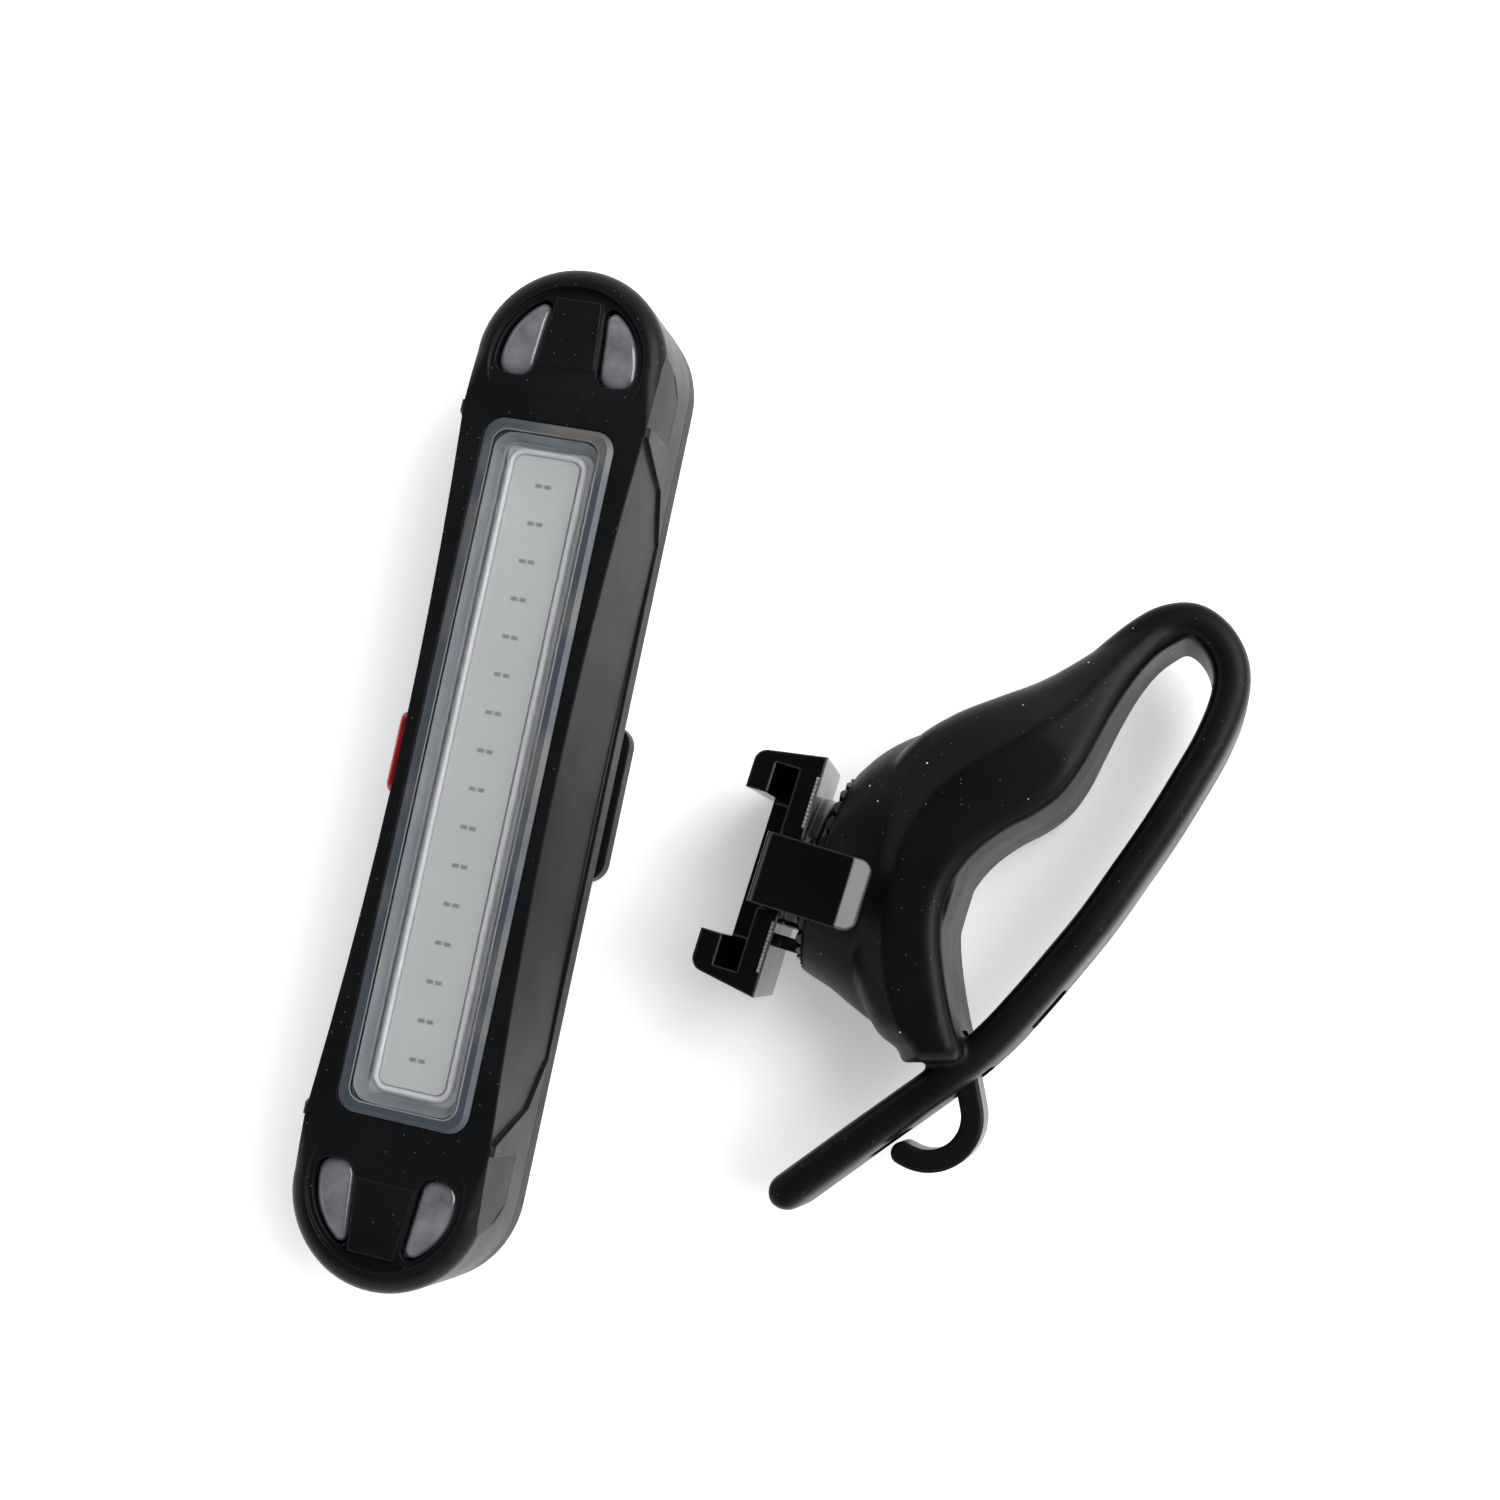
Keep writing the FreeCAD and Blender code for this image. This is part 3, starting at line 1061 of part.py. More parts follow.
# Swivel: a screw through the clip into the core, a spring washer under its head, and a ring of round
# teeth that the clip clicks round on.
SCREW_UNDER = "(-clip_plate + swivel_head)"
swivel_head = spindle("swivel_head", "swivel_head_radius", "swivel_head", "-clip_plate")
swivel_shank = spindle("swivel_shank", "swivel_screw_radius", "swivel_length", SCREW_UNDER)
swivel_socket = doc.addObject("Part::Prism", "swivel_socket")
swivel_socket.Polygon = 6
swivel_socket.Placement = Placement(Vector(), Rotation(Vector(0, 1, 0), 90))
bind(swivel_socket, Circumradius="swivel_head_radius / 2", Height="swivel_socket + 1")
place(swivel_socket, "-clip_plate - 1", "swivel_rise", "mount_middle")
finish(mounted(cut("swivel_screw_solid", fuse("swivel_blank", swivel_head, swivel_shank), swivel_socket)),
       "swivel_screw")
washer_disc = spindle("washer_disc", "swivel_head_radius - washer_inset", "swivel_washer - running_gap",
                      f"{SCREW_UNDER} + running_gap")
washer_bore = spindle("washer_bore", "swivel_screw_radius + running_gap", "swivel_washer + 1",
                      f"{SCREW_UNDER} - 0.5")
finish(mounted(cut("washer_solid", washer_disc, washer_bore)), "swivel_washer")

ring_disc = spindle("ring_disc", "detent_radius", "detent_thickness", "detent_front")
ring_bore = spindle("ring_bore", "detent_inside", "detent_thickness + detent_bump + 2",
                    "detent_front - detent_bump - 1")
teeth = []
for number in range(int(SIZES["detent_count"])):
    tooth = doc.addObject("Part::Cylinder", f"detent_tooth_{number + 1}")
    tooth.Placement = Placement(Vector(), Rotation(Vector(1, 0, 0), 1))
    spin = f"({number} * 360 / detent_count)"
    bind(tooth, Radius="detent_tooth", Height="detent_radius - detent_inside + detent_bite",
         Placement__Rotation__Angle=spin)
    place(tooth, "detent_front - detent_bump + detent_tooth",
          f"swivel_rise - (detent_inside - detent_bite) * sin({spin} * 1deg)",
          f"mount_middle + (detent_inside - detent_bite) * cos({spin} * 1deg)")
    teeth.append(tooth)
crown_limit = spindle("crown_limit", "detent_radius", "detent_thickness + detent_bump",
                      "detent_front - detent_bump")
crown = common("crown", fuse("crown_teeth", *teeth), crown_limit)
finish(mounted(cut("ring_solid", fuse("ring_blank", ring_disc, crown), ring_bore)), "detent_ring")


def plan_path(name):
    """The corners and bend radii of one of the mount's outlines."""
    count = len(PATHS[name])
    spots = [Vector(worth(f"{name}_across_{n}"), worth(f"{name}_along_{n}"), 0) for n in range(1, count + 1)]
    return spots, [worth(f"{name}_bend_{n}") for n in range(1, count + 1)]


def beside(edge, shift):
    """A line or arc moved sideways, to the left of its run."""
    points = []
    for share in (0, 0.5, 1):
        spot = edge.FirstParameter + share * (edge.LastParameter - edge.FirstParameter)
        run = edge.tangentAt(spot)
        points.append(edge.valueAt(spot) + Vector(-run.y, run.x, 0) * shift)
    if isinstance(edge.Curve, Part.Circle):
        return Part.Arc(*points).toShape()
    return Part.LineSegment(points[0], points[2]).toShape()


def ribbon(path, half, base, height):
    """A flat strip that stands on its edge along a path, with a round free end."""
    left = [beside(edge, half) for edge in path]
    right = [beside(edge, -half) for edge in path]
    last = path[-1]
    tip = last.Vertexes[-1].Point + last.tangentAt(last.LastParameter) * half
    cap = Part.Arc(left[-1].Vertexes[-1].Point, tip, right[-1].Vertexes[-1].Point).toShape()
    start = Part.LineSegment(left[0].Vertexes[0].Point, right[0].Vertexes[0].Point).toShape()
    outline = Part.Wire(Part.__sortEdges__([start, cap] + left + right))
    outline.translate(Vector(0, 0, base))
    return Part.Face(outline).extrude(Vector(0, 0, height))


CORE_FRONT = "(detent_front + detent_thickness)"


def core_shape(grow):
    """The hook core: a round boss on the swivel axis and the flat bar that ends in the open hook."""
    boss = Part.makeCylinder(
        worth("core_radius") + grow, worth("core_length") + grow,
        Vector(worth(CORE_FRONT), worth("swivel_rise"), worth("mount_middle")), Vector(1, 0, 0),
    )
    width = worth("core_width") + 2 * grow
    bar = ribbon(bent_line(*plan_path("hook")), worth("core_thickness / 2") + grow,
                 worth("mount_middle") - width / 2, width)
    return boss.fuse(bar)


# Hook core: the rigid plastic insert of the saddle. It takes the swivel screw and ends in the hook.
screw_bore = Part.makeCylinder(
    worth("swivel_screw_radius + fit_gap"), worth(f"{SCREW_UNDER} + swivel_length + fit_gap - {CORE_FRONT}"),
    Vector(worth(CORE_FRONT), worth("swivel_rise"), worth("mount_middle")), Vector(1, 0, 0),
)
hold("hook_core_solid", core_shape(0).cut(screw_bore).removeSplitter(), "hook_core")
mounted(subparts[-1])


def section(across, middle_along, half_along, half_up, corner):
    """An upright rounded rectangle, or a circle where the corner is as large as both halves."""
    edges = []
    for turn in range(4):
        spin = Rotation(Vector(1, 0, 0), 90 * turn)
        out, side = (half_along, half_up) if turn % 2 == 0 else (half_up, half_along)
        run = side - corner
        share = math.radians(22.5) if run < 1e-6 else 0
        start = Vector(0, out - corner + corner * math.cos(share), -run - corner * math.sin(share))
        end = Vector(0, start.y, -start.z)
        half_way = math.radians(45)
        bend = Vector(0, out - corner + corner * math.cos(half_way), run + corner * math.sin(half_way))
        finish_angle = math.pi / 2 - share
        stop = Vector(0, out - corner + corner * math.cos(finish_angle),
                      run + corner * math.sin(finish_angle))
        flat = Part.Arc(start, Vector(0, out, 0), end) if share else Part.LineSegment(start, end)
        for piece in (flat, Part.Arc(end, bend, stop)):
            edge = piece.toShape()
            edge.Placement = Placement(Vector(across, middle_along, worth("mount_middle")), spin)
            edges.append(edge)
    return Part.Wire(edges)


def along(path, distance):
    """A path's point and direction at a distance back from its end."""
    for edge in reversed(path):
        if distance <= edge.Length:
            spot = edge.getParameterByLength(edge.Length - distance)
            return edge.valueAt(spot), edge.tangentAt(spot)
        distance -= edge.Length
    raise ValueError("the path is too short")


# Saddle and strap: one rubber moulding. A flare widens from the swivel to a curved saddle, and the
# strap loops round from the saddle's upper end and down past the hook.
middle = worth("mount_middle")
half_saddle = worth("saddle_width / 2")
flare = Part.makeLoft([
    section(worth("saddle_front"), worth("swivel_rise"), worth("flare_radius"), worth("flare_radius"),
            worth("flare_radius")),
    section(worth("flare_near"), worth("(flare_near_high - flare_near_low) / 2"),
            worth("(flare_near_high + flare_near_low) / 2"), half_saddle - worth("flare_near_sunk"),
            worth("flare_near_corner")),
    section(worth("flare_middle"), worth("(flare_high - flare_low) / 2"),
            worth("(flare_high + flare_low) / 2"), half_saddle - worth("flare_sunk"), worth("flare_corner")),
    section(worth("flare_end"), worth("(flare_end_high - flare_end_low) / 2"),
            worth("(flare_end_high + flare_end_low) / 2"), half_saddle - worth("flare_end_sunk"),
            worth("flare_end_corner")),
], True, True)

mould_spots, _ = plan_path("mould")
neck_spots, neck_bends = plan_path("neck")
horn_spots, _ = plan_path("horn")
recess_radius = worth("recess_radius")
recess_centre = Vector(worth("recess_across") + recess_radius, worth("recess_along"), 0)


def on_recess(y):
    """The point of the recess at a height along the saddle."""
    drop = y - recess_centre.y
    return Vector(recess_centre.x - math.sqrt(recess_radius ** 2 - drop ** 2), y, 0)


recess_top, recess_foot = on_recess(worth("recess_high")), on_recess(worth("recess_low"))
outline = [Part.Arc(*mould_spots).toShape()]
outline += bent_line([mould_spots[-1]] + neck_spots + [recess_top], [0] + neck_bends)
recess_middle = on_recess(recess_centre.y)
outline += [Part.Arc(recess_top, recess_middle, recess_foot).toShape()]
outline += [Part.LineSegment(recess_foot, horn_spots[0]).toShape()]
outline += [Part.LineSegment(horn_spots[0], mould_spots[0]).toShape()]
slab_face = Part.Face(Part.Wire(Part.__sortEdges__(outline)))
slab_face.translate(Vector(0, 0, middle - half_saddle))
slab = slab_face.extrude(Vector(0, 0, 2 * half_saddle))

half_strap = worth("strap_width / 2")
far = 2 * worth("saddle_width")
taper_points = [(-far, half_saddle), (worth("taper_start"), half_saddle), (worth("taper_end"), half_strap),
                (far, half_strap), (far, -half_strap), (worth("taper_end"), -half_strap),
                (worth("taper_start"), -half_saddle), (-far, -half_saddle)]
taper_wire = Part.makePolygon([Vector(-far, y, middle + z) for y, z in taper_points + taper_points[:1]])
taper = Part.Face(taper_wire).extrude(Vector(2 * far, 0, 0))
slab = slab.common(taper)
root_spots, _ = plan_path("root")
root_face = Part.Face(Part.makePolygon(root_spots + root_spots[:1]))
root_face.translate(Vector(0, 0, middle - worth("root_width / 2")))
root = root_face.extrude(Vector(0, 0, worth("root_width"))).common(taper)

strap_spots, strap_bends = plan_path("strap")
strap_path = bent_line(strap_spots, strap_bends)
strap = ribbon(strap_path, worth("strap_thickness / 2"), middle - half_strap, 2 * half_strap)
strap_rim = [edge for edge in strap.Edges
             if all(abs(abs(vertex.Z - middle) - half_strap) < 1e-3 for vertex in edge.Vertexes)
             and edge.Length > worth("strap_thickness") + 1e-3]
strap = strap.makeFillet(worth("strap_edge"), strap_rim)

# The hook passes through one of the strap's slots.
hook_spots, _ = plan_path("hook")
run, stem = strap_spots[-1] - strap_spots[-2], hook_spots[2] - hook_spots[1]
to_strap = strap_spots[-2] - hook_spots[1]
share = (to_strap.x * stem.y - to_strap.y * stem.x) / (run.y * stem.x - run.x * stem.y)
tail = run.Length * (1 - share)
slots = []
for number in range(int(SIZES["slot_count"])):
    spot, way = along(strap_path, tail + (number - 1) * worth("slot_pitch"))
    length, width = worth("slot_length"), worth("core_width + 2 * slot_clearance")
    depth = 3 * worth("strap_thickness")
    slot = Part.makeBox(length, depth, width, Vector(-length / 2, -depth / 2, -width / 2))
    slot.Placement = Placement(spot + Vector(0, 0, middle), Rotation(Vector(1, 0, 0), way))
    slots.append(slot)

fit_gap = worth("fit_gap")
ring_seat = Part.makeCylinder(
    worth("detent_radius") + fit_gap, worth("detent_thickness + detent_bump + 1"),
    Vector(worth("detent_front - detent_bump - 1"), worth("swivel_rise"), middle), Vector(1, 0, 0),
)
saddle = flare.fuse([slab, root, strap.cut(slots)]).cut([core_shape(fit_gap), ring_seat]).removeSplitter()
hold("saddle_solid", saddle, "saddle_strap")
mounted(subparts[-1])

doc.recompute()
os.makedirs("parts", exist_ok=True)
troubled = [thing.Name + " " + thing.getStatusString() for thing in doc.Objects
            if "Invalid" in thing.State or "Error" in thing.State]
if troubled:
    raise SystemExit("failed: " + "; ".join(troubled))
for thing in subparts:
    if thing.Shape.isNull() or not thing.Shape.isValid():
        raise SystemExit(f"{thing.Label} has no valid shape")
for old in os.listdir("parts"):
    os.remove(os.path.join("parts", old))
for thing in subparts:
    thing.Shape.exportStep(os.path.join("parts", thing.Label + ".step"))
    print(f"{thing.Label}: {len(thing.Shape.Solids)} solids, {thing.Shape.Volume:.1f} cubic millimetres")
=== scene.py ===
"""Bicycle tail light and the strap mount beside it: the looks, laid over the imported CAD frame.

Sizes are in millimetres and go into the meshes in metres. The mount has a plan of its own: across
runs along its swivel axis, along runs with the clip, and up stands as in the lamp.
"""
import math

import bpy
import numpy as np
from mathutils import Matrix, Vector


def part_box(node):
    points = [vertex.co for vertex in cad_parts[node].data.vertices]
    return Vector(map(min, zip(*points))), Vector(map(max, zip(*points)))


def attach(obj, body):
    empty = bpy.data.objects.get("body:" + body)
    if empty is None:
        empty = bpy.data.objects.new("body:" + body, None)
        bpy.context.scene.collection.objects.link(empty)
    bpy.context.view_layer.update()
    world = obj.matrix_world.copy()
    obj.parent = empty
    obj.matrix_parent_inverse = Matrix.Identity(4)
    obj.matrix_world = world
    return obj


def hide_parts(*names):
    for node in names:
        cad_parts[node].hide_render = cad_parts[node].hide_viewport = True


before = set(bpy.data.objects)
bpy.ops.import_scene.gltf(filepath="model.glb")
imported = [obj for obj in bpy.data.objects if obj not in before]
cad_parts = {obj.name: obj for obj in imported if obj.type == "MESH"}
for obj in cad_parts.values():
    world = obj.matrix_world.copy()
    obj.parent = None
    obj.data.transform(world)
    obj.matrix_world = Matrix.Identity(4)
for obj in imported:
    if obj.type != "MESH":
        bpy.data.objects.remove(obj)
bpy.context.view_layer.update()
scene = bpy.context.scene

# The camera stands above the table, a little to the right of the lamp, and looks down at both. Its
# place in metres, its directions and its lens were fitted to outlines.
EYE = (0.0659, -0.0108, 0.2067)
LOOK, TOP = Vector((-0.214, 0.088, -0.973)).normalized(), Vector((-0.181, 0.975, 0.129))
LENS, SENSOR = 52.8, 36.0
camera = bpy.data.objects.new("camera", bpy.data.cameras.new("camera"))
camera.data.lens = LENS
camera.data.sensor_width = SENSOR
camera.data.clip_start = 0.01
right = LOOK.cross(TOP).normalized()
turn = Matrix((right, right.cross(LOOK), -LOOK)).transposed().to_4x4()
camera.matrix_world = Matrix.Translation(EYE) @ turn
scene.collection.objects.link(camera)
scene.camera = camera


def linear(colour, alpha=1.0):
    """An sRGB hex value as the linear colour that a socket takes."""
    parts = [int(colour[n:n + 2], 16) / 255 for n in (1, 3, 5)]
    return [part / 12.92 if part <= 0.04045 else ((part + 0.055) / 1.055) ** 2.4
            for part in parts] + [alpha]


def add(tree, kind, links=None, **settings):
    """Adds a node: settings go on the node, and links give each input a socket or a value."""
    node = tree.nodes.new(kind)
    for name, value in settings.items():
        setattr(node, name, value)
    for name, value in (links or {}).items():
        if isinstance(value, bpy.types.NodeSocket):
            tree.links.new(value, node.inputs[name])
        else:
            node.inputs[name].default_value = value
    return node


def ramp(tree, value, low, high, first=0.0, last=1.0, **settings):
    """Goes from first to last while a value goes from low to high, and stays level outside."""
    return add(tree, "ShaderNodeMapRange", {
        "Value": value, "From Min": low, "From Max": high, "To Min": first, "To Max": last},
        **settings).outputs["Result"]


# The things lie on a sheet of matt white acrylic that glows a little, as a light table does, so their
# shadows are faint. The room's walls glow white all round up to 40 degrees above it, and its ceiling is
# dim, so that black plastic stays black. A soft box stands on the right, and a small dim one near it
# shows in the sloping end of the clip's tab.
TABLE_HALF, TABLE_LEVEL, TABLE_GLOW = 3, -0.0001, 0.3
WALLS, CEILING = 1.5, 0.08
WALLS_STOP, CEILING_START = 0.5, 0.76           # sines of the height angle
AIM = Vector((0.03, 0.0, 0.01))
BOXES = (("right_box", (0.40, 0.19, 0.45), 5.4, 0.5),       # name, place, watts and width in metres
         ("near_box", (0.41, -0.04, 0.48), 0.25, 0.2))
acrylic = bpy.data.materials.new("lit_white_acrylic")
acrylic.use_nodes = True
sheet = acrylic.node_tree.nodes["Principled BSDF"]
sheet.inputs["Base Color"].default_value = linear("#F6F6F7")
sheet.inputs["Roughness"].default_value = 0.9
sheet.inputs["Emission Color"].default_value = linear("#FFFFFF")
sheet.inputs["Emission Strength"].default_value = TABLE_GLOW
table_mesh = bpy.data.meshes.new("table")
table_mesh.from_pydata([(x * TABLE_HALF, y * TABLE_HALF, TABLE_LEVEL)
                        for x, y in ((-1, -1), (1, -1), (1, 1), (-1, 1))], [], [(0, 1, 2, 3)])
table_mesh.materials.append(acrylic)
table = bpy.data.objects.new("table", table_mesh)
scene.collection.objects.link(table)
scene.world = bpy.data.worlds.new("white_room")
scene.world.use_nodes = True
room = scene.world.node_tree
height = add(room, "ShaderNodeSeparateXYZ", {
    "Vector": add(room, "ShaderNodeTexCoord").outputs["Generated"]}).outputs["Z"]
strength = ramp(room, height, WALLS_STOP, CEILING_START, WALLS, CEILING, interpolation_type="SMOOTHSTEP")
glow = room.nodes["Background"]
glow.inputs["Color"].default_value = linear("#FCFCFF")
room.links.new(strength, glow.inputs["Strength"])
for name, place, power, size in BOXES:
    light = bpy.data.lights.new(name, "AREA")
    light.energy = power
    light.size = size
    stand = bpy.data.objects.new(name, light)
    stand.location = place
    stand.rotation_euler = (AIM - Vector(place)).to_track_quat("-Z", "Y").to_euler()
    scene.collection.objects.link(stand)
scene.view_settings.view_transform = "Standard"

# Housings: two shells of black ABS, injection moulded in a spark-eroded tool and screwed together from
# the back. The satin face breaks up in a fine grain, and the edges have the small radius that moulding
# leaves.


def spot_of(tree):
    """The place on the object, in metres."""
    return add(tree, "ShaderNodeTexCoord").outputs["Object"]


def finish(name, colour, other, roughness, grain, relief, edge=0.0, patch=8.0, spread=0.06,
           sheen=0.5, **sockets):
    """A surface that drifts between two colours in patches, with a grain and a relief in mm.

    The roughness drifts by the spread, edge is the radius in mm that sharp edges show, and sheen is
    the specular level."""
    made = bpy.data.materials.new(name)
    made.use_nodes = True
    tree = made.node_tree
    tree.nodes.clear()
    spot = spot_of(tree)
    drift = add(tree, "ShaderNodeTexNoise", {
        "Vector": spot, "Scale": 1000 / patch, "Detail": 4.0}).outputs["Fac"]
    fine = add(tree, "ShaderNodeTexNoise", {
        "Vector": spot, "Scale": 1000 / grain, "Detail": 2.0}).outputs["Fac"]
    tone = add(tree, "ShaderNodeMix", {"Factor": drift, 6: linear(colour), 7: linear(other)},
               data_type="RGBA")
    dull = ramp(tree, drift, 0.3, 0.7, roughness - spread, roughness + spread)
    bump = add(tree, "ShaderNodeBump", {"Height": fine, "Distance": relief / 1000})
    if edge:
        round_edge = add(tree, "ShaderNodeBevel", {"Radius": edge / 1000}, samples=6)
        tree.links.new(round_edge.outputs["Normal"], bump.inputs["Normal"])
    shader = add(tree, "ShaderNodeBsdfPrincipled", {
        "Base Color": tone.outputs[2], "Roughness": dull, "Normal": bump.outputs["Normal"],
        "Specular IOR Level": sheen, **sockets})
    add(tree, "ShaderNodeOutputMaterial", {"Surface": shader.outputs["BSDF"]})
    return made


def over(made, mask, colour, **sockets):
    """Lays a second colour, and other values, over a material where the mask is 1.

    A mix node has its colours at inputs 6 and 7 and output 2, and its values at 2, 3 and 0."""
    tree = made.node_tree
    shader = tree.nodes["Principled BSDF"]
    for name, value in {"Base Color": linear(colour), **sockets}.items():
        socket = shader.inputs[name]
        under = socket.links[0].from_socket if socket.is_linked else socket.default_value
        kind, first, out = ("RGBA", 6, 2) if name == "Base Color" else ("FLOAT", 2, 0)
        mix = add(tree, "ShaderNodeMix", {"Factor": mask, first: under, first + 1: value},
                  data_type=kind)
        tree.links.new(mix.outputs[out], socket)
    return made


def dust_and_glint_specks(made, spacing, size, colour):
    """Specks of a size in mm, about a spacing apart: each lies at the middle of a Voronoi cell.

    On the rubber they are dust, and on the front housing they are painted glints.
    """
    tree = made.node_tree
    cells = add(tree, "ShaderNodeTexVoronoi", {"Vector": spot_of(tree), "Scale": 1000 / spacing})
    share = size / 2 / spacing
    return over(made, ramp(tree, cells.outputs["Distance"], 0.7 * share, share, 1.0, 0.0), colour)


def dress(material, *names):
    """Gives CAD nodes a material."""
    for name in names:
        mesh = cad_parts[name].data
        mesh.materials.clear()
        mesh.materials.append(material)


# The grain of the tool spreads the light into a dull grey sheen, and the pale specks on the front are
# painted glints of that grain.
front_abs_with_painted_glints = finish("moulded_black_abs", "#0A0B0C", "#0E0F10", 0.34, 0.16, 0.012, edge=0.25, sheen=0.12)
dress(dust_and_glint_specks(front_abs_with_painted_glints, 0.9, 0.12, "#5A5C60"), "front_housing")
# The back's tool is a little rougher, so it is the darker of the two.
back_abs = finish("moulded_black_abs_back", "#0A0B0C", "#0E0F10", 0.4, 0.16, 0.01, edge=0.25, sheen=0.1)
dress(back_abs, "rear_housing")

# Seals: a flat ring of grey silicone, moulded and pressed between the two shells, and a thin frame of
# it behind the power key.
SEAM, FRONT_SEAM = 7.0, 7.2                     # the faces of the rear and the front shell
GASKET_SIZE, GASKET_BAND = (17.7, 94.3), 1.35
KEY_SEAL_BAND, KEY_SEAL_CORNER = 0.65, 0.5


def skin(rings, closed=False):
    """Points and faces of a tube through rings (ring, point, xyz): quads from ring to ring. The last
    ring joins the first, or else a face closes each end. The faces turn so that the volume, the sum
    of the triple products of their corners, is positive."""
    rings = np.asarray(rings, float)
    count, size = rings.shape[:2]
    points = rings.reshape(-1, 3)
    here = np.arange(size)
    after = (here + 1) % size
    lower = (np.arange(count if closed else count - 1) * size)[:, None]
    upper = (lower + size) % (count * size)
    quads = np.stack((lower + here, lower + after, upper + after, upper + here), -1).reshape(-1, 4)
    corners = points[quads]
    centre = points.mean(0)
    a, b, c, d = (corners[:, n] - centre for n in range(4))
    volume = (np.cross(a, b) * c).sum() + (np.cross(a, c) * d).sum()
    faces = quads.tolist()
    if not closed:
        for end in (0, -1):
            ring = rings[end] - centre
            part = (np.cross(ring, np.roll(ring, -1, 0)) * ring.mean(0)).sum()
            volume += part if end else -part
        faces += [here[::-1].tolist(), (here + (count - 1) * size).tolist()]
    return points, faces if volume > 0 else [face[::-1] for face in faces]


def joined(*parts):
    """Several lots of points and faces as one."""
    starts = np.cumsum([0] + [len(points) for points, _ in parts])
    faces = [[corner + int(start) for corner in face]
             for start, (_, some) in zip(starts, parts) for face in some]
    return np.vstack([points for points, _ in parts]), faces


def shade(mesh, sharp=40):
    """Smooth faces, with a sharp edge where two of them meet at more than an angle in degrees."""
    mesh.polygons.foreach_set("use_smooth", np.full(len(mesh.polygons), True))
    mesh.set_sharp_from_angle(angle=math.radians(sharp))


def solid(name, shape, material, sharp=40):
    """A new object from points in mm and faces."""
    points, faces = shape
    mesh = bpy.data.meshes.new(name)
    mesh.from_pydata((np.asarray(points) / 1000).tolist(), [], faces)
    mesh.materials.append(material)
    shade(mesh, sharp)
    thing = bpy.data.objects.new(name, mesh)
    scene.collection.objects.link(thing)
    return thing


def piece(name, shape, material, body, node, stands_for=True, sharp=40):
    """A solid that rides on a body. It stands for a CAD node, which it hides, or adds to it."""
    thing = solid(name, shape, material, sharp)
    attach(thing, body)
    if stands_for:
        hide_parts(node)
    return thing


def edging(width, length, corner, profile, centre=(0, 0)):
    """A grid of points: sixty-four round a rectangle with round corners, by one for each step of a
    profile of (inset, height). An inset moves a point in along the corner's own radius."""
    angle = (np.arange(64) + 0.5) / 64 * 2 * np.pi
    out = np.stack((np.cos(angle), np.sin(angle)), -1)
    line = np.sign(out) * (np.array([width, length]) / 2 - corner) + out * corner + np.array(centre)
    inset, level = np.array(profile, float).T
    flat = line[:, None] - out[:, None] * inset[:, None]
    return np.concatenate((flat, np.broadcast_to(level[:, None], (64, len(level), 1))), -1)


def frame_of(*sizes, **more):
    """A closed frame: the profile is a closed section that runs all the way round."""
    return skin(edging(*sizes, **more), closed=True)


def slab(*sizes, **more):
    """A plate: the profile climbs its edge, and a flat face closes it below and above."""
    return skin(edging(*sizes, **more).transpose(1, 0, 2))


def band(width, low, high, break_at=0.0, break_up=0.0):
    """A flat band's section: a rectangle from 0 to the width, with its corners cut off where a break is
    given."""
    corners = [(0, low + break_up), (break_at, low), (width - break_at, low), (width, low + break_up),
               (width, high - break_up), (width - break_at, high), (break_at, high), (0, high - break_up)]
    return corners if break_at else corners[::2]


# Silicone is soft to the eye as to the touch: even, dark and half dull.
seal_grey = finish("moulded_grey_silicone", "#1E1F21", "#27282A", 0.5, 0.3, 0.004)
piece("shell_gasket", frame_of(*GASKET_SIZE, GASKET_SIZE[0] / 2,
                               band(GASKET_BAND, SEAM, FRONT_SEAM, 0.05, 0.03)),
      seal_grey, "lamp", "housing_gasket")
low, high = (np.array(corner) * 1000 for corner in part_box("button_seal"))
seal_size, seal_middle = high - low, (low + high) / 2
points, faces = frame_of(*seal_size[1:], KEY_SEAL_CORNER, band(KEY_SEAL_BAND, low[0], high[0]),
                         centre=seal_middle[1:])
piece("key_seal", (points[:, [2, 0, 1]], faces), seal_grey, "lamp", "button_seal")

# Lens: clear polycarbonate, moulded, polished on top and glued into the front housing. Its rim and its
# walls are left matt, so they catch the light as a pale band all round.
RIM_STRAIGHT, RIM_CORNER, RIM_BLUR = (3.75, 29.8), 1.4, 0.08
STEP_SIZE, STEP_CORNER = (10.3, 62.3), 1.9
STEP_PROFILE = [(0, 17.35), (0, 16.0), (0.8, 15.86), (0.9, 16.0), (0.62, 16.1), (0.2, 17.2)]


def calc(tree, operation, *values):
    """The result of one math node on sockets or values."""
    return add(tree, "ShaderNodeMath", dict(enumerate(values)), operation=operation).outputs["Value"]


def along_axis(tree, axis):
    """The X, Y or Z of the place on the object, in metres."""
    return add(tree, "ShaderNodeSeparateXYZ", {"Vector": spot_of(tree)}).outputs[axis]


def past(tree, axis, half):
    """How far, in metres, a place is beyond a half length in mm on either side."""
    away = calc(tree, "ABSOLUTE", along_axis(tree, axis))
    return calc(tree, "MAXIMUM", calc(tree, "SUBTRACT", away, half / 1000), 0.0)


# Polished polycarbonate shows what lies under it, with a clear reflection on top.
lens = finish("polished_polycarbonate", "#FCFDFD", "#FEFEFE", 0.04, 1.5, 0.0006, edge=0.08,
              spread=0.015, **{"Transmission Weight": 1.0, "IOR": 1.585})
nodes = lens.node_tree
